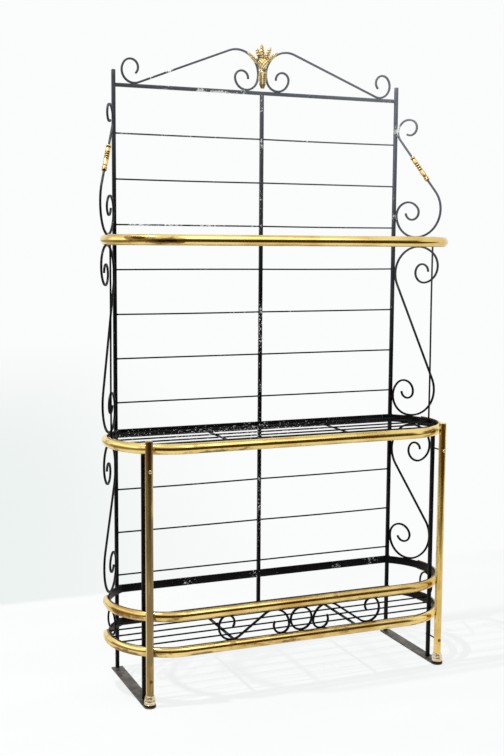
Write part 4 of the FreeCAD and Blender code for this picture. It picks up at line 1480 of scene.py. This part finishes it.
@dataclass
class Spindles:
    """Turned brass spindles threaded on the upper scrolls' straights."""

    scrolls: SideScrolls
    finishes: Finishes
    length: float = 106 * MM
    largest: float = 9.25 * MM
    drop: float = 15 * MM
    # strength of the painted shade in the spindle's grooves
    tarnish_and_shade: float = 1.15

    def beads(self) -> list[Bead]:
        """The turned outline: collars, two long beads and three balls between.

        Returns:
            The beads, from the upper collar down to the lower one.
        """
        r = self.largest
        neck, waist, collar = 0.56 * r, 0.6 * r, 0.95 * r
        wide, groove, nick = (
            Bead(3.5 * MM, neck, neck, 0.3 * MM, 5),
            Bead(3 * MM, neck, neck, 0.3 * MM, 5),
            Bead(1.5 * MM, neck, neck, 0.2 * MM, 4),
        )
        ball = Bead(8 * MM, waist, waist, 3.5 * MM, 9)
        return [
            Bead(0.4 * MM, waist, collar, rows=2),
            Bead(5 * MM, collar, collar, 0.4 * MM),
            wide,
            Bead(18 * MM, 0.72 * r, 0.88 * r, 1.1 * MM, 9),
            groove,
            ball,
            nick,
            Bead(8.5 * MM, waist, waist, 3.6 * MM, 9),
            nick,
            ball,
            groove,
            Bead(26 * MM, 0.88 * r, 0.7 * r, 1.1 * MM, 11),
            wide,
            Bead(5 * MM, 0.97 * r, 0.97 * r, 0.2 * MM),
            Bead(7 * MM, 0.8 * r, collar, 0.3 * MM),
            Bead(0.4 * MM, collar, waist, rows=2),
        ]

    def build(self) -> None:
        """Make the two spindles."""
        heights, radii = bead_outline(self.beads())
        heights *= self.length / heights[-1]
        # painted shade: each row darkens the thinner the spindle is there, deepest in its grooves
        hollow_shade = self.tarnish_and_shade * (self.largest - radii) / (self.largest - radii.min())
        for side in Side:
            high, low = self.scrolls.straights[side]
            axis = (low - high) / np.linalg.norm(low - high)
            start = (low + high) / 2 + axis * (self.drop - self.length / 2)
            spindle = turned(start, axis, heights, radii, 28, hollow_shade=hollow_shade)
            form = Form("turned_spindle_" + side.word, [spindle])
            form.piece(self.finishes.spindle, Slot.BRASS, "spindle_" + side.word)


@dataclass
class Gallery:
    """The row of scrolls, the ring and the end curls of the low gallery."""

    rack: Rack
    finishes: Finishes
    reach: float = 300 * MM
    ring_size: float = 84 * MM
    outer_heading: float = 52.0
    outer_tip: float = 25.5
    outer_end: float = -131.0
    inner_heading: float = -91.0
    inner_tip: float = 28.0
    inner_end: float = -303.0
    end_bar: float = 6 * MM
    end_inner: float = 0.55
    end_lift: float = 0.05
    corner: float = 1.2 * MM

    @property
    def level(self) -> float:
        """Half way between the two rings."""
        rack = self.rack
        return (rack.band_top(Shelf.BOTTOM) + rack.band_bottom(Shelf.GALLERY)) / 2

    def curls(self) -> tuple[Curl, Curl]:
        """The outer and the inner curl; each touches both bands.

        A curl's largest radius R fills the height: with the tip's radius r and
        the heading a at which they meet, clear = R (1 + cos a) + r (1 - cos a).

        Returns:
            The two curls.
        """
        rack = self.rack
        seat = rack.bar / 2 + rack.gap
        floor = rack.band_top(Shelf.BOTTOM) + seat
        roof = rack.band_bottom(Shelf.GALLERY) - seat
        clear = (roof - floor) / MM
        cos_outer = math.cos(math.radians(self.outer_heading))
        cos_inner = math.cos(math.radians(self.inner_heading))
        outer = (clear - self.outer_tip * (1 - cos_outer)) / (1 + cos_outer)
        inner = (clear - self.inner_tip * (1 + cos_inner)) / (1 - cos_inner)
        beside = self.ring_size / 2 + seat
        outer_arcs = ((outer, self.outer_heading), (self.outer_tip, self.outer_end))
        inner_arcs = ((inner, self.inner_heading), (self.inner_tip, self.inner_end))
        return (
            Curl(outer_arcs, (0, -1, -self.reach), (0, -1, floor)),
            Curl(inner_arcs, (0, 1, -beside), (0, 1, roof)),
        )

    def end_curls(self) -> list[Patch]:
        """A small curl at each end, its bar set inside the band's outer face.

        Returns:
            The two curls.
        """
        low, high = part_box("gallery_end_curls")
        r = (high.z - low.z - self.end_bar) / 2
        inner, lift, outer = r * self.end_inner, r * self.end_lift, r * (1 - self.end_lift)
        line = chain(
            arc_points((0, 0), r, -100, 90),
            arc_points((0, lift), outer, 90, 180),
            arc_points((inner - outer, lift), inner, 180, 340),
        )
        section = rounded_bar(self.end_bar, self.end_bar, self.corner, 2)
        x, y = high.x - self.end_bar / 2, self.rack.arc_y
        return [
            sweep(plane_to_space(line, (side.value * x, y, self.level), FORWARDS), ACROSS, section)
            for side in Side
        ]

    def build(self) -> None:
        """Make the gallery's pieces."""
        rack, iron = self.rack, self.finishes.iron
        section = rounded_bar(rack.painted_bar, rack.painted_bar, self.corner, 2)
        origin = (0, rack.front_y + rack.gap + rack.bar / 2, 0)
        line, _ = scroll_line(*self.curls())
        pair = [
            sweep(plane_to_space(line, origin, (-side.value, 0, 0)), BACKWARDS, section)
            for side in Side
        ]
        Form("gallery_scroll_pair", pair).piece(iron, Slot.BLACK_IRON, "gallery_scrolls")
        ring = arc_points((0, self.level), (self.ring_size - rack.bar) / 2, 0, 360)
        centre = sweep(plane_to_space(ring, origin, ACROSS), BACKWARDS, section)
        Form("gallery_centre_ring", [centre]).piece(iron, Slot.BLACK_IRON, "gallery_ring")
        ends = Form("gallery_end_curl_pair", self.end_curls())
        ends.piece(iron, Slot.BLACK_IRON, "gallery_end_curls")


@dataclass
class Crest:
    """The two scrolls on the top bar and the wheat sheaf between them."""

    rack: Rack
    finishes: Finishes
    reach: float = 511 * MM
    middle_gap: float = 30 * MM
    corner: float = 1.3 * MM

    def scrolls(self) -> list[Patch]:
        """The crest's scrolls, standing on the top bar.

        Returns:
            The two scrolls.
        """
        rack = self.rack
        floor = rack.top_bar + rack.post / 2 + rack.bar / 2 + rack.gap
        outer = Curl(((43, 54), (27, -138)), (0, -1, -self.reach), (0, -1, floor))
        inner = Curl(
            ((80.5, -110), (42.5, -264), (24.5, -458)), (0, 1, -self.middle_gap / 2), (1, -1, floor)
        )
        section = rounded_bar(rack.painted_bar, rack.painted_bar, self.corner, 2)
        line, _ = scroll_line(outer, inner)
        origin = (0, rack.rear_y, 0)
        return [
            sweep(plane_to_space(line, origin, (-side.value, 0, 0)), BACKWARDS, section)
            for side in Side
        ]

    def build(self) -> None:
        """Make the crest's pieces."""
        pair = Form("crest_scroll_pair", self.scrolls())
        pair.piece(self.finishes.iron, Slot.BLACK_IRON, "crest_scrolls")
        WheatSheaf(self.finishes).build()


@dataclass(frozen=True)
class Ear:
    """One ear of wheat: its lean in degrees, where it starts, its length and width.

    The start and the length are shares of the sheaf's height.
    """

    lean: float
    root: Flat
    length: float
    width: float


@dataclass
class WheatSheaf:
    """A cast sheaf: bound stalks, a knotted waist and five ears of grain.

    Places along it are shares of its height; its foot is the middle of the
    back of its node's box.
    """

    finishes: Finishes
    ears: tuple[Ear, ...] = (
        Ear(-47, (-0.10, 0.545), 0.36, 16 * MM),
        Ear(46, (0.10, 0.585), 0.37, 15.5 * MM),
        Ear(-29, (0.02, 0.57), 0.37, 22 * MM),
        Ear(23, (0.05, 0.60), 0.37, 18.5 * MM),
        Ear(-8, (0.02, 0.60), 0.404, 17.5 * MM),
    )
    stalks: int = 7
    waist: float = 0.42
    stem_top: float = 0.67
    grain_rows: int = 22
    grain_columns: int = 5
    stalk_relief: float = 0.17
    grain_relief: float = 0.2
    waist_relief: float = 0.12
    waist_width: float = 0.022
    waist_fade: float = 0.04
    cord: float = 3.4 * MM
    cord_front: float = 0.86
    cord_half_width: float = 17.2 * MM
    ear_depth: float = 0.6
    ear_pairs: int = 6
    ear_relief: float = 0.22
    ear_groove: float = 0.06
    ear_start: float = 0.3 * MM
    ear_step: float = 0.5 * MM
    foot: np.ndarray = field(init=False)
    tall: float = field(init=False)
    thick: float = field(init=False)

    def __post_init__(self) -> None:
        """Read the node's box."""
        low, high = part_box("wheat_sheaf")
        self.tall, self.thick = high.z - low.z, high.y - low.y
        self.foot = np.array([0.0, high.y, low.z])

    def half_form(
        self,
        start: np.ndarray,
        along: np.ndarray,
        heights: np.ndarray,
        widths: np.ndarray,
        depths: np.ndarray,
        relief: Callable[[np.ndarray, np.ndarray], np.ndarray],
    ) -> Patch:
        """A form with a flat back, bulging to the front.

        A point at height h and angle a is start + h * along + w(h) cos(a) *
        across, brought forward by d(h) sin(a), both scaled by relief(h, a).
        The grooves of the relief are weighted for painted shade.

        Args:
            start: foot of the form, on its flat back.
            along: its direction.
            heights: heights of the rows.
            widths: half widths of the rows.
            depths: depths of the rows.
            relief: factor of the surface over (height share, angle).

        Returns:
            The closed patch.
        """
        across = np.array([along[2], 0.0, -along[0]])
        angle = np.linspace(0, math.pi, 33)
        share = heights / heights[-1]
        factor = relief(share[:, None], angle[None, :])
        u = widths[:, None] * np.cos(angle) * factor
        v = depths[:, None] * np.sin(angle) * factor
        centre = start + heights[:, None, None] * along
        points = centre + u[..., None] * across + v[..., None] * np.array(FORWARDS)
        around = np.linspace(0, 1, len(angle) + 1) * float(widths.max()) * 4
        # painted shade: the deeper a groove of the relief, the darker
        groove = np.clip((factor.max() - factor) / (factor.max() - factor.min()), 0, 1)
        return grid(points[:, ::-1], heights, around, groove[:, ::-1])

    def stems(self) -> Patch:
        """The stalks from their cut ends to the spread under the ears.

        Returns:
            The closed patch.
        """
        share = np.linspace(0, self.stem_top, 64)
        known = (0.0, 0.04, 0.10, 0.23, 0.34, self.waist, 0.48, 0.58, self.stem_top)
        width = np.interp(share, known, (12, 18, 25, 31, 30, 28, 33, 48, 51)) * MM / 2
        deep = (0.35, 0.5, 0.7, 0.85, 1.0, 0.95, 0.9, 0.85, 0.6)
        depth = np.interp(share, known, deep) * self.thick

        def straw(part: np.ndarray, angle: np.ndarray) -> np.ndarray:
            """Ridges along the stalks, with grains in staggered rows above the waist.

            Args:
                part: share of the stems' height.
                angle: angle round the front.

            Returns:
                The factor on the surface.
            """
            where = part * self.stem_top
            above = np.clip((where - self.waist) / self.waist_fade, 0, 1)
            stalk = 0.5 + 0.5 * np.cos(self.stalks * 2 * angle + 2.0 * where)
            row = where * self.grain_rows
            stagger = np.cos(self.grain_columns * 2 * angle + math.pi * np.floor(row))
            grain = 0.5 + 0.5 * stagger * np.sin(math.pi * (row % 1))
            waist = np.exp(-(((where - self.waist) / self.waist_width) ** 2))
            ridged = self.stalk_relief * (1 - above) * (1 - stalk)
            grained = self.grain_relief * above * (1 - grain)
            return 1 - ridged - grained - self.waist_relief * waist

        return self.half_form(self.foot, np.array(UP), share * self.tall, width, depth, straw)

    def knot(self) -> list[Patch]:
        """The tie round the waist, with two loops and two loose ends.

        Each is a cord along a line across the front, which stands forward by
        the waist's depth times the square root of 1 - (x / half width) squared.
        A line's points are millimetres across and shares of the height.

        Returns:
            The cords.
        """
        paths = (
            ((-15.5, 0.395), (-8, 0.42), (0, 0.405), (8, 0.425), (15.5, 0.40)),
            ((-15, 0.43), (-6, 0.405), (2, 0.40), (9, 0.375), (15.5, 0.37)),
            ((-2, 0.40), (-8, 0.375), (-12, 0.34), (-13, 0.30), (-14, 0.275)),
            ((2, 0.40), (7, 0.37), (10, 0.33), (12.5, 0.30), (15, 0.285)),
        )
        front, half_width = self.cord_front * self.thick, self.cord_half_width
        section = round_rod(self.cord, 8)
        t = np.linspace(0, 1, 17)
        cords = []
        for known in np.array(paths):
            spots = np.linspace(0, 1, len(known))
            x = np.interp(t, spots, known[:, 0]) * MM
            z = np.interp(t, spots, known[:, 1]) * self.tall
            depth = front * np.sqrt(np.clip(1 - (x / half_width) ** 2, 0.04, 1))
            line = self.foot + np.stack([x, -depth, z], axis=1)
            cords.append(sweep(line, UP, section, 1 - 0.35 * t**3))
        return cords

    def ear(self, ear: Ear, lift: float) -> Patch:
        """One ear: two rows of grains that overlap, and a blunt tip.

        Args:
            ear: its lean, root and size.
            lift: how far it stands in front of the sheaf's back.

        Returns:
            The closed patch.
        """
        turn = math.radians(ear.lean)
        along = np.array([math.sin(turn), 0.0, math.cos(turn)])
        start = self.foot + np.array([ear.root[0] * self.tall, -lift, ear.root[1] * self.tall])
        t = np.linspace(0, 1, 56)
        swell = np.interp(t, (0, 0.25, 0.6, 0.88, 0.96, 1.0), (0.5, 0.9, 1.0, 0.74, 0.5, 0.14))

        def grains(part: np.ndarray, angle: np.ndarray) -> np.ndarray:
            """Grains in two staggered rows either side of a groove.

            Args:
                part: share of the ear's length.
                angle: angle round the front.

            Returns:
                The factor on the surface.
            """
            side = np.sign(np.cos(angle))
            row = np.abs(np.sin(math.pi * (part * self.ear_pairs + 0.25 * side)))
            groove = np.exp(-((np.cos(angle) / 0.2) ** 2))
            grain = self.ear_relief * row * (1 - groove)
            return 1 - self.ear_relief + grain - self.ear_groove * groove

        heights = t * (ear.length * self.tall - 0.4 * MM)
        widths, depths = swell * ear.width / 2, swell * self.thick * self.ear_depth
        return self.half_form(start, along, heights, widths, depths, grains)

    def build(self) -> None:
        """Make the sheaf inside the box of its node."""
        ears = [
            self.ear(ear, self.ear_start + self.ear_step * number)
            for number, ear in enumerate(self.ears)
        ]
        form = Form("sheaf_of_wheat", [self.stems(), *self.knot(), *ears])
        form.piece(self.finishes.cast, Slot.BRASS, "wheat_sheaf")


@dataclass
class Legs:
    """Front posts, brass tubes with shoes and bolts, foot bars and struts."""

    rack: Rack
    finishes: Finishes
    wall: float = 1.5 * MM
    head: float = 6 * MM
    head_rise: float = 3.4 * MM
    head_edge: float = 0.6 * MM
    shank: float = 2.5 * MM
    rim: float = 1.6 * MM
    foot_edge: float = 0.7 * MM
    lobes: int = 8
    lobe_depth: float = 0.13
    lobe_level: float = 0.62
    lobe_reach: float = 0.2
    strut_bow: float = 0.8 * MM
    bolt_levels: tuple[float, ...] = (776.5 * MM, 88 * MM)

    def tube(self, side: Side) -> Patch:
        """The tube with a softly rounded rim and a flat cap.

        Args:
            side: the end of the rack.

        Returns:
            The tube.
        """
        node = "brass_tube_" + side.word
        low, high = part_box(node)
        radius, rim = (high.x - low.x) / 2, self.rim
        turn = np.linspace(0, math.pi / 2, 6)[1:]
        shoulder = high.z - low.z - rim
        walls = np.linspace(0.02, shoulder, 24)
        heights = np.concatenate([[0.0], walls, shoulder + rim * np.sin(turn)])
        radii = np.concatenate([np.full(25, radius), radius - rim + rim * np.cos(turn)])
        x, y, _ = middle(node)
        return turned((x, y, low.z), UP, heights, radii, 40)

    def shoe(self, side: Side) -> Patch:
        """The cast shoe: base ring, neck and a leafy flare with eight lobes.

        Args:
            side: the end of the rack.

        Returns:
            The shoe.
        """
        node = "brass_foot_" + side.word
        low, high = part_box(node)
        radius, t = (high.x - low.x) / 2, high.z - low.z
        left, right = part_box("brass_tube_" + side.word)
        slim = (right.x - left.x) / 2
        heights, radii = bead_outline(
            [
                Bead(0.3 * MM, radius * 0.9, radius * 0.98, rows=2),
                Bead(t * 0.17, radius * 0.97, radius * 0.97, radius * 0.03, 7),
                Bead(t * 0.12, radius * 0.95, radius * 0.86, -0.8 * MM, 6),
                Bead(t * 0.30, radius * 0.86, radius * 0.9, 1.6 * MM, 9),
                Bead(t * 0.32, radius * 0.9, slim + 1.6 * MM, 1.0 * MM, 9),
                Bead(t * 0.07, slim + 1.9 * MM, slim + 0.4 * MM, 0.5 * MM, 5),
            ]
        )
        share = heights / heights[-1]
        depth = self.lobe_depth * np.exp(-(((share - self.lobe_level) / self.lobe_reach) ** 2))
        x, y, _ = middle(node)
        return turned((x, y, low.z), UP, heights, radii, 64, self.lobes, depth)

    def foot_bar(self, side: Side) -> Patch:
        """The flat bar on the floor, its front end round.

        Args:
            side: the end of the rack.

        Returns:
            The bar.
        """
        node = "foot_bar_" + side.word
        low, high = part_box(node)
        half, soft = (high.x - low.x) / 2, self.foot_edge
        x, y, _ = middle(node)
        rear = np.array([[x + half, high.y], [x - half, high.y]])
        outline = chain(arc_points((x, low.y + half), half, 180, 360, 9.0), rear)
        inwards = np.array([x, y]) - outline
        inset = outline + inwards * soft / np.linalg.norm(inwards, axis=1)[:, None]
        levels = np.array([low.z, low.z + soft, high.z - soft, high.z])
        outlines = (inset, outline, outline, inset)
        points = np.stack(
            [np.column_stack([flat, np.full(len(flat), z)]) for flat, z in zip(outlines, levels)]
        )
        along = levels - levels[0]
        around = np.linspace(0, 1, len(outline) + 1)
        return grid(points, along, around, np.full((1, len(outline)), 0.4))

    def bolts(self, level: float) -> list[Patch]:
        """The domed heads in front of both tubes at one level.

        Args:
            level: height of the bolts.

        Returns:
            The two heads.
        """
        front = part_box("brass_tube_left")[0].y - self.rack.gap
        turn = np.linspace(0, math.pi / 2, 8)[1:]
        dome = self.head_edge + (self.head_rise - self.head_edge) * np.sin(turn)
        heights = np.concatenate([[0.0, self.head_edge], dome])
        radii = np.concatenate([[self.head, self.head], self.head * np.cos(turn)])
        radii[-1] = 0.2 * MM
        x = self.rack.post_x
        return [
            turned((side.value * x, front, level), FORWARDS, heights, radii, 24) for side in Side
        ]

    def shanks(self) -> list[Patch]:
        """Painted shanks from the tube to the nut, and the nuts.

        Returns:
            A shank and a nut for each bolt.
        """
        tube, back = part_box("brass_tube_left")[1].y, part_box("post_bolts")[1].y
        low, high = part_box("post_nuts")
        shank, nut = round_rod(2 * self.shank, 12), round_rod(4 * self.shank, 6)
        patches = []
        for side in Side:
            x = side.value * self.rack.post_x
            for level in self.bolt_levels:
                line = straight((x, tube - self.wall, level), (x, back, level))
                patches.append(sweep(line, ACROSS, shank))
                line = straight((x, low.y, level), (x, high.y, level))
                patches.append(sweep(line, ACROSS, nut))
        return patches

    def strut(self, side: Side) -> Patch:
        """The thin strut inside the ring's end, bent by hand.

        It bends by bow * sin(2 pi t) along its length.

        Args:
            side: the end of the rack.

        Returns:
            The strut.
        """
        node = "side_strut_" + side.word
        low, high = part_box(node)
        x, y, _ = middle(node)
        line = straight((x, y, low.z), (x, y, high.z), even(7, 0.1))
        bend = np.sin(np.linspace(0, 2 * math.pi, len(line)))
        line[:, 0] += side.value * self.strut_bow * bend
        return sweep(line, ACROSS, round_rod(high.x - low.x, 12))

    def build(self) -> None:
        """Make the legs' pieces."""
        finishes, frame = self.finishes, RearFrame(self.rack, self.finishes)
        iron = finishes.iron
        for side in Side:
            word = side.word
            post = Form("front_post_bar_" + word, [frame.upright_bar("front_post_" + word)])
            post.piece(iron, Slot.BLACK_IRON, "front_post_" + word)
            tube = Form("leg_tube_" + word, [self.tube(side)])
            tube.piece(finishes.tubes[side], Slot.BRASS, "brass_tube_" + word)
            shoe = Form("leg_shoe_" + word, [self.shoe(side)])
            shoe.piece(finishes.shoe, Slot.CAST_BRASS, "brass_foot_" + word)
            bar = Form("foot_flat_" + word, [self.foot_bar(side)])
            bar.piece(finishes.steel, Slot.FOOT_IRON, "foot_bar_" + word)
            strut = Form("side_strut_rod_" + word, [self.strut(side)])
            strut.piece(iron, Slot.BLACK_IRON, "side_strut_" + word)
        heads = zip(("upper", "lower"), self.bolt_levels, (finishes.bolt, finishes.dull_bolt))
        for word, level, finish in heads:
            domes = Form("bolt_heads_" + word, self.bolts(level))
            domes.piece(finish, Slot.BOLT_BRASS, "post_bolts")
        Form("bolt_shanks", self.shanks()).piece(iron, Slot.BLACK_IRON, "post_nuts")


# ---------------------------------------------------------------------------
# Studio


@dataclass(frozen=True)
class Lamp:
    """One oblong soft lamp, looking from its place at a target."""

    name: str
    place: Point
    target: Point
    size: Flat
    power: float

    def build(self) -> None:
        """Hang the lamp."""
        data = bpy.data.lights.new(self.name, "AREA")
        data.shape = "RECTANGLE"
        data.size, data.size_y = self.size
        data.energy = self.power
        thing = linked(self.name, data)
        thing.location = self.place
        view = Vector(self.target) - Vector(self.place)
        thing.rotation_euler = view.to_track_quat("-Z", "Y").to_euler()


@dataclass
class DarkRoom:
    """The dark side of the room in front, seen only in reflections.

    An upright arc about the rack, from its left end to its right one in
    degrees; heights are metres.  Pairs are the values between which a ramp
    climbs.
    """

    radius: float = 2.7
    top: float = 3.3
    left: float = -125.0
    right: float = 48.0
    dark: Colour = rgb(72, 54, 24)
    brown: Colour = rgb(142, 120, 98)
    pane: Colour = rgb(255, 252, 244)
    window_light: float = 1.7
    left_drop: float = 1.4
    front: Flat = (-72.0, -45.0)
    upper_fade: Flat = (3.1, 1.9)
    right_fade: Flat = (47.0, 36.0)
    pane_angles: Flat = (-60.0, -70.0)
    pane_sill: Flat = (1.2, 1.6)
    pane_head: Flat = (2.8, 2.3)

    def shader(self) -> bpy.types.Material:
        """Dark in front, a lower and lighter brown at the left, with a window above.

        Returns:
            The material, which fades out at the top and the right end.
        """
        s = Sheet("dark_room")
        parts = s.axes(s.run())
        height, angle = parts["X"], parts["Y"]
        front = s.ramp(angle, *self.front)
        colour = s.mix(front, self.brown, self.dark)
        beside = s.math("SUBTRACT", 1.0, front)
        level = s.plus(height, s.times(beside, self.left_drop))
        solid = s.times(s.ramp(level, *self.upper_fade), s.ramp(angle, *self.right_fade))
        clear = s.add("BsdfTransparent").outputs[0]
        dark = s.add("Emission", {"Color": colour, "Strength": 1.0}).outputs[0]
        room = s.add("MixShader", {0: solid, 1: clear, 2: dark}).outputs[0]
        pane = s.times(s.ramp(angle, *self.pane_angles), s.ramp(height, *self.pane_sill))
        pane = s.times(pane, s.ramp(height, *self.pane_head))
        window = s.add("Emission", {"Color": self.pane, "Strength": self.window_light})
        return s.finish(s.add("MixShader", {0: pane, 1: room, 2: window.outputs[0]}))

    def build(self) -> None:
        """Make the arc: x = r sin(a), y = -r cos(a)."""
        angle = np.radians(np.linspace(self.left, self.right, 45))
        flat = self.radius * np.stack([np.sin(angle), -np.cos(angle)], axis=1)
        levels = np.array([0.0, self.top])
        points = np.stack([np.column_stack([flat, np.full(len(flat), z)]) for z in levels])
        patch = grid(points, levels, np.degrees(angle), closed=False)
        mesh = bpy.data.meshes.new("dark_room")
        mesh.from_pydata(patch.points.tolist(), [], patch.quads.tolist())
        layer = mesh.uv_layers.new(name=RUN_MAP)
        layer.data.foreach_set("uv", patch.run.astype(np.float32).ravel())
        mesh.materials.append(self.shader())
        thing = linked("dark_room", mesh)
        thing.visible_camera = False
        thing.visible_diffuse = False
        thing.visible_transmission = False
        thing.visible_volume_scatter = False
        thing.visible_shadow = False


@dataclass
class Studio:
    """Camera, pale floor, the dark side of the room, the sky and soft lamps.

    Pairs are the values between which a ramp climbs.
    """

    eye: Point = (-1.6489, -3.6601, 1.4958)
    yaw: float = 22.77
    pitch: float = 6.57
    roll: float = 0.37
    focal_pixels: float = 1166.6
    long_side_pixels: float = 756.0
    sensor: float = 36.0
    far_clip: float = 100.0
    soft_light: float = 0.62
    sky: Colour = rgb(251, 252, 252)
    floor_reach: float = 40.0
    floor_glow: float = 0.81
    floor_grey: Colour = rgb(240, 245, 245)
    floor_pale: Colour = rgb(248, 250, 250)
    floor_bright: Colour = rgb(250, 251, 251)
    streak: Noise = Noise(1.6)
    streaked: Flat = (0.35, 0.7)
    streak_weave: Point = (0.7, 2.4, 1.0)
    backdrop_line: Flat = (1.04, 1.10)
    grey_lean: float = 0.25
    grey_side: Flat = (0.5, -1.3)
    grey_depth: Flat = (14.0, 2.0)
    dark_front: Flat = (-1.5, -2.1)
    dark_left: Flat = (-1.5, -2.2)
    dark_left_share: float = 0.6
    backdrop_grey: Colour = rgb(236, 242, 240)
    mirror_near: Colour = rgb(250, 248, 244)
    mirror_far: Colour = rgb(76, 58, 32)
    lamps: tuple[Lamp, ...] = (
        Lamp("ceiling_lamp", (-1.9, 0.05, 5.6), (0, 0, 0.5), (0.12, 0.12), 190),
        Lamp("soft_box", (0.75, -2.0, 3.45), (0, 0, 1.0), (1.3, 2.6), 14),
    )

    def camera(self) -> None:
        """Place the camera: turned by yaw about Z, down by pitch, rolled."""
        data = bpy.data.cameras.new("camera")
        data.sensor_width = self.sensor
        data.lens = self.focal_pixels * self.sensor / self.long_side_pixels
        data.clip_end = self.far_clip
        thing = linked("camera", data)
        turn = (
            Matrix.Rotation(-math.radians(self.yaw), 4, "Z")
            @ Matrix.Rotation(math.radians(90 - self.pitch), 4, "X")
            @ Matrix.Rotation(math.radians(self.roll), 4, "Z")
        )
        thing.matrix_world = Matrix.Translation(self.eye) @ turn
        bpy.context.scene.camera = thing

    def floor_shader(self) -> bpy.types.Material:
        """White to the eye, with the shadow kept.

        Behind the line where it turns up into the backdrop it is flat white,
        with a faint grey to the left.  Shiny parts see it white near the rack
        and dark in front, where the room begins.

        Returns:
            The material.
        """
        s = Sheet("pale_floor")
        place = s.place()
        axes = s.axes(place)
        rays = s.add("LightPath").outputs
        x, y, seen = axes["X"], axes["Y"], rays["Is Camera Ray"]
        streak = s.noise(s.stretched(place, self.streak_weave), self.streak)
        shade = s.mix(s.ramp(streak, *self.streaked), self.floor_grey, self.floor_pale)
        paint = s.add("BsdfDiffuse", {"Color": shade}).outputs[0]
        bright = s.add("Emission", {"Color": self.floor_bright, "Strength": 1.0}).outputs[0]
        glow = s.times(seen, self.floor_glow)
        kept = s.add("MixShader", {0: glow, 1: paint, 2: bright}).outputs[0]
        side = s.math("SUBTRACT", x, s.times(y, self.grey_lean))
        grey = s.times(s.ramp(side, *self.grey_side), s.ramp(y, *self.grey_depth))
        backdrop = s.mix(grey, self.sky, self.backdrop_grey)
        drop = s.add("Emission", {"Color": backdrop}).outputs[0]
        behind = s.times(s.ramp(y, *self.backdrop_line), seen)
        whole = s.add("MixShader", {0: behind, 1: kept, 2: drop}).outputs[0]
        left = s.times(s.ramp(x, *self.dark_left), self.dark_left_share)
        far = s.math("MAXIMUM", s.ramp(y, *self.dark_front), left)
        mirror = s.mix(far, self.mirror_near, self.mirror_far)
        mirrored = s.add("Emission", {"Color": mirror}).outputs[0]
        return s.finish(s.add("MixShader", {0: rays["Is Glossy Ray"], 1: whole, 2: mirrored}))

    def floor(self) -> None:
        """Lay a wide pale floor."""
        mesh = bpy.data.meshes.new("floor")
        reach = self.floor_reach
        corners = [(-reach, -reach, 0), (reach, -reach, 0), (reach, reach, 0), (-reach, reach, 0)]
        mesh.from_pydata(corners, [], [(0, 1, 2, 3)])
        mesh.materials.append(self.floor_shader())
        linked("floor", mesh)

    def world(self) -> None:
        """White to the eye and in reflections, softer as light."""
        world = bpy.data.worlds.new("studio")
        bpy.context.scene.world = world
        world.use_nodes = True
        tree = world.node_tree
        tree.nodes.clear()
        output = tree.nodes.new("ShaderNodeOutputWorld")
        background = tree.nodes.new("ShaderNodeBackground")
        rays = tree.nodes.new("ShaderNodeLightPath")
        last = rays.outputs["Is Camera Ray"]
        for word in ("Is Transmission Ray", "Is Glossy Ray"):
            either = tree.nodes.new("ShaderNodeMath")
            either.operation = "MAXIMUM"
            tree.links.new(last, either.inputs[0])
            tree.links.new(rays.outputs[word], either.inputs[1])
            last = either.outputs[0]
        level = tree.nodes.new("ShaderNodeMapRange")
        level.inputs[3].default_value = self.soft_light
        level.inputs[4].default_value = 1.0
        tree.links.new(last, level.inputs[0])
        background.inputs[0].default_value = self.sky
        tree.links.new(level.outputs[0], background.inputs[1])
        tree.links.new(background.outputs[0], output.inputs[0])

    def build(self) -> None:
        """Set the whole stage."""
        self.camera()
        self.floor()
        DarkRoom().build()
        self.world()
        for lamp in self.lamps:
            lamp.build()
        bpy.context.scene.view_settings.view_transform = "Standard"


def main() -> None:
    """Build the stage and every sub-assembly in order."""
    logging.basicConfig(level=logging.INFO, format="%(name)s %(message)s")
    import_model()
    rack = Rack()
    finishes = Finishes()
    Studio().build()
    RearFrame(rack, finishes).build()
    for shelf in Shelf:
        Ring(rack, finishes, shelf).build()
    scrolls = SideScrolls(rack, finishes)
    scrolls.build()
    Spindles(scrolls, finishes).build()
    Gallery(rack, finishes).build()
    Crest(rack, finishes).build()
    Legs(rack, finishes).build()
    log.info("sizes written")


if __name__ == "__main__":
    main()
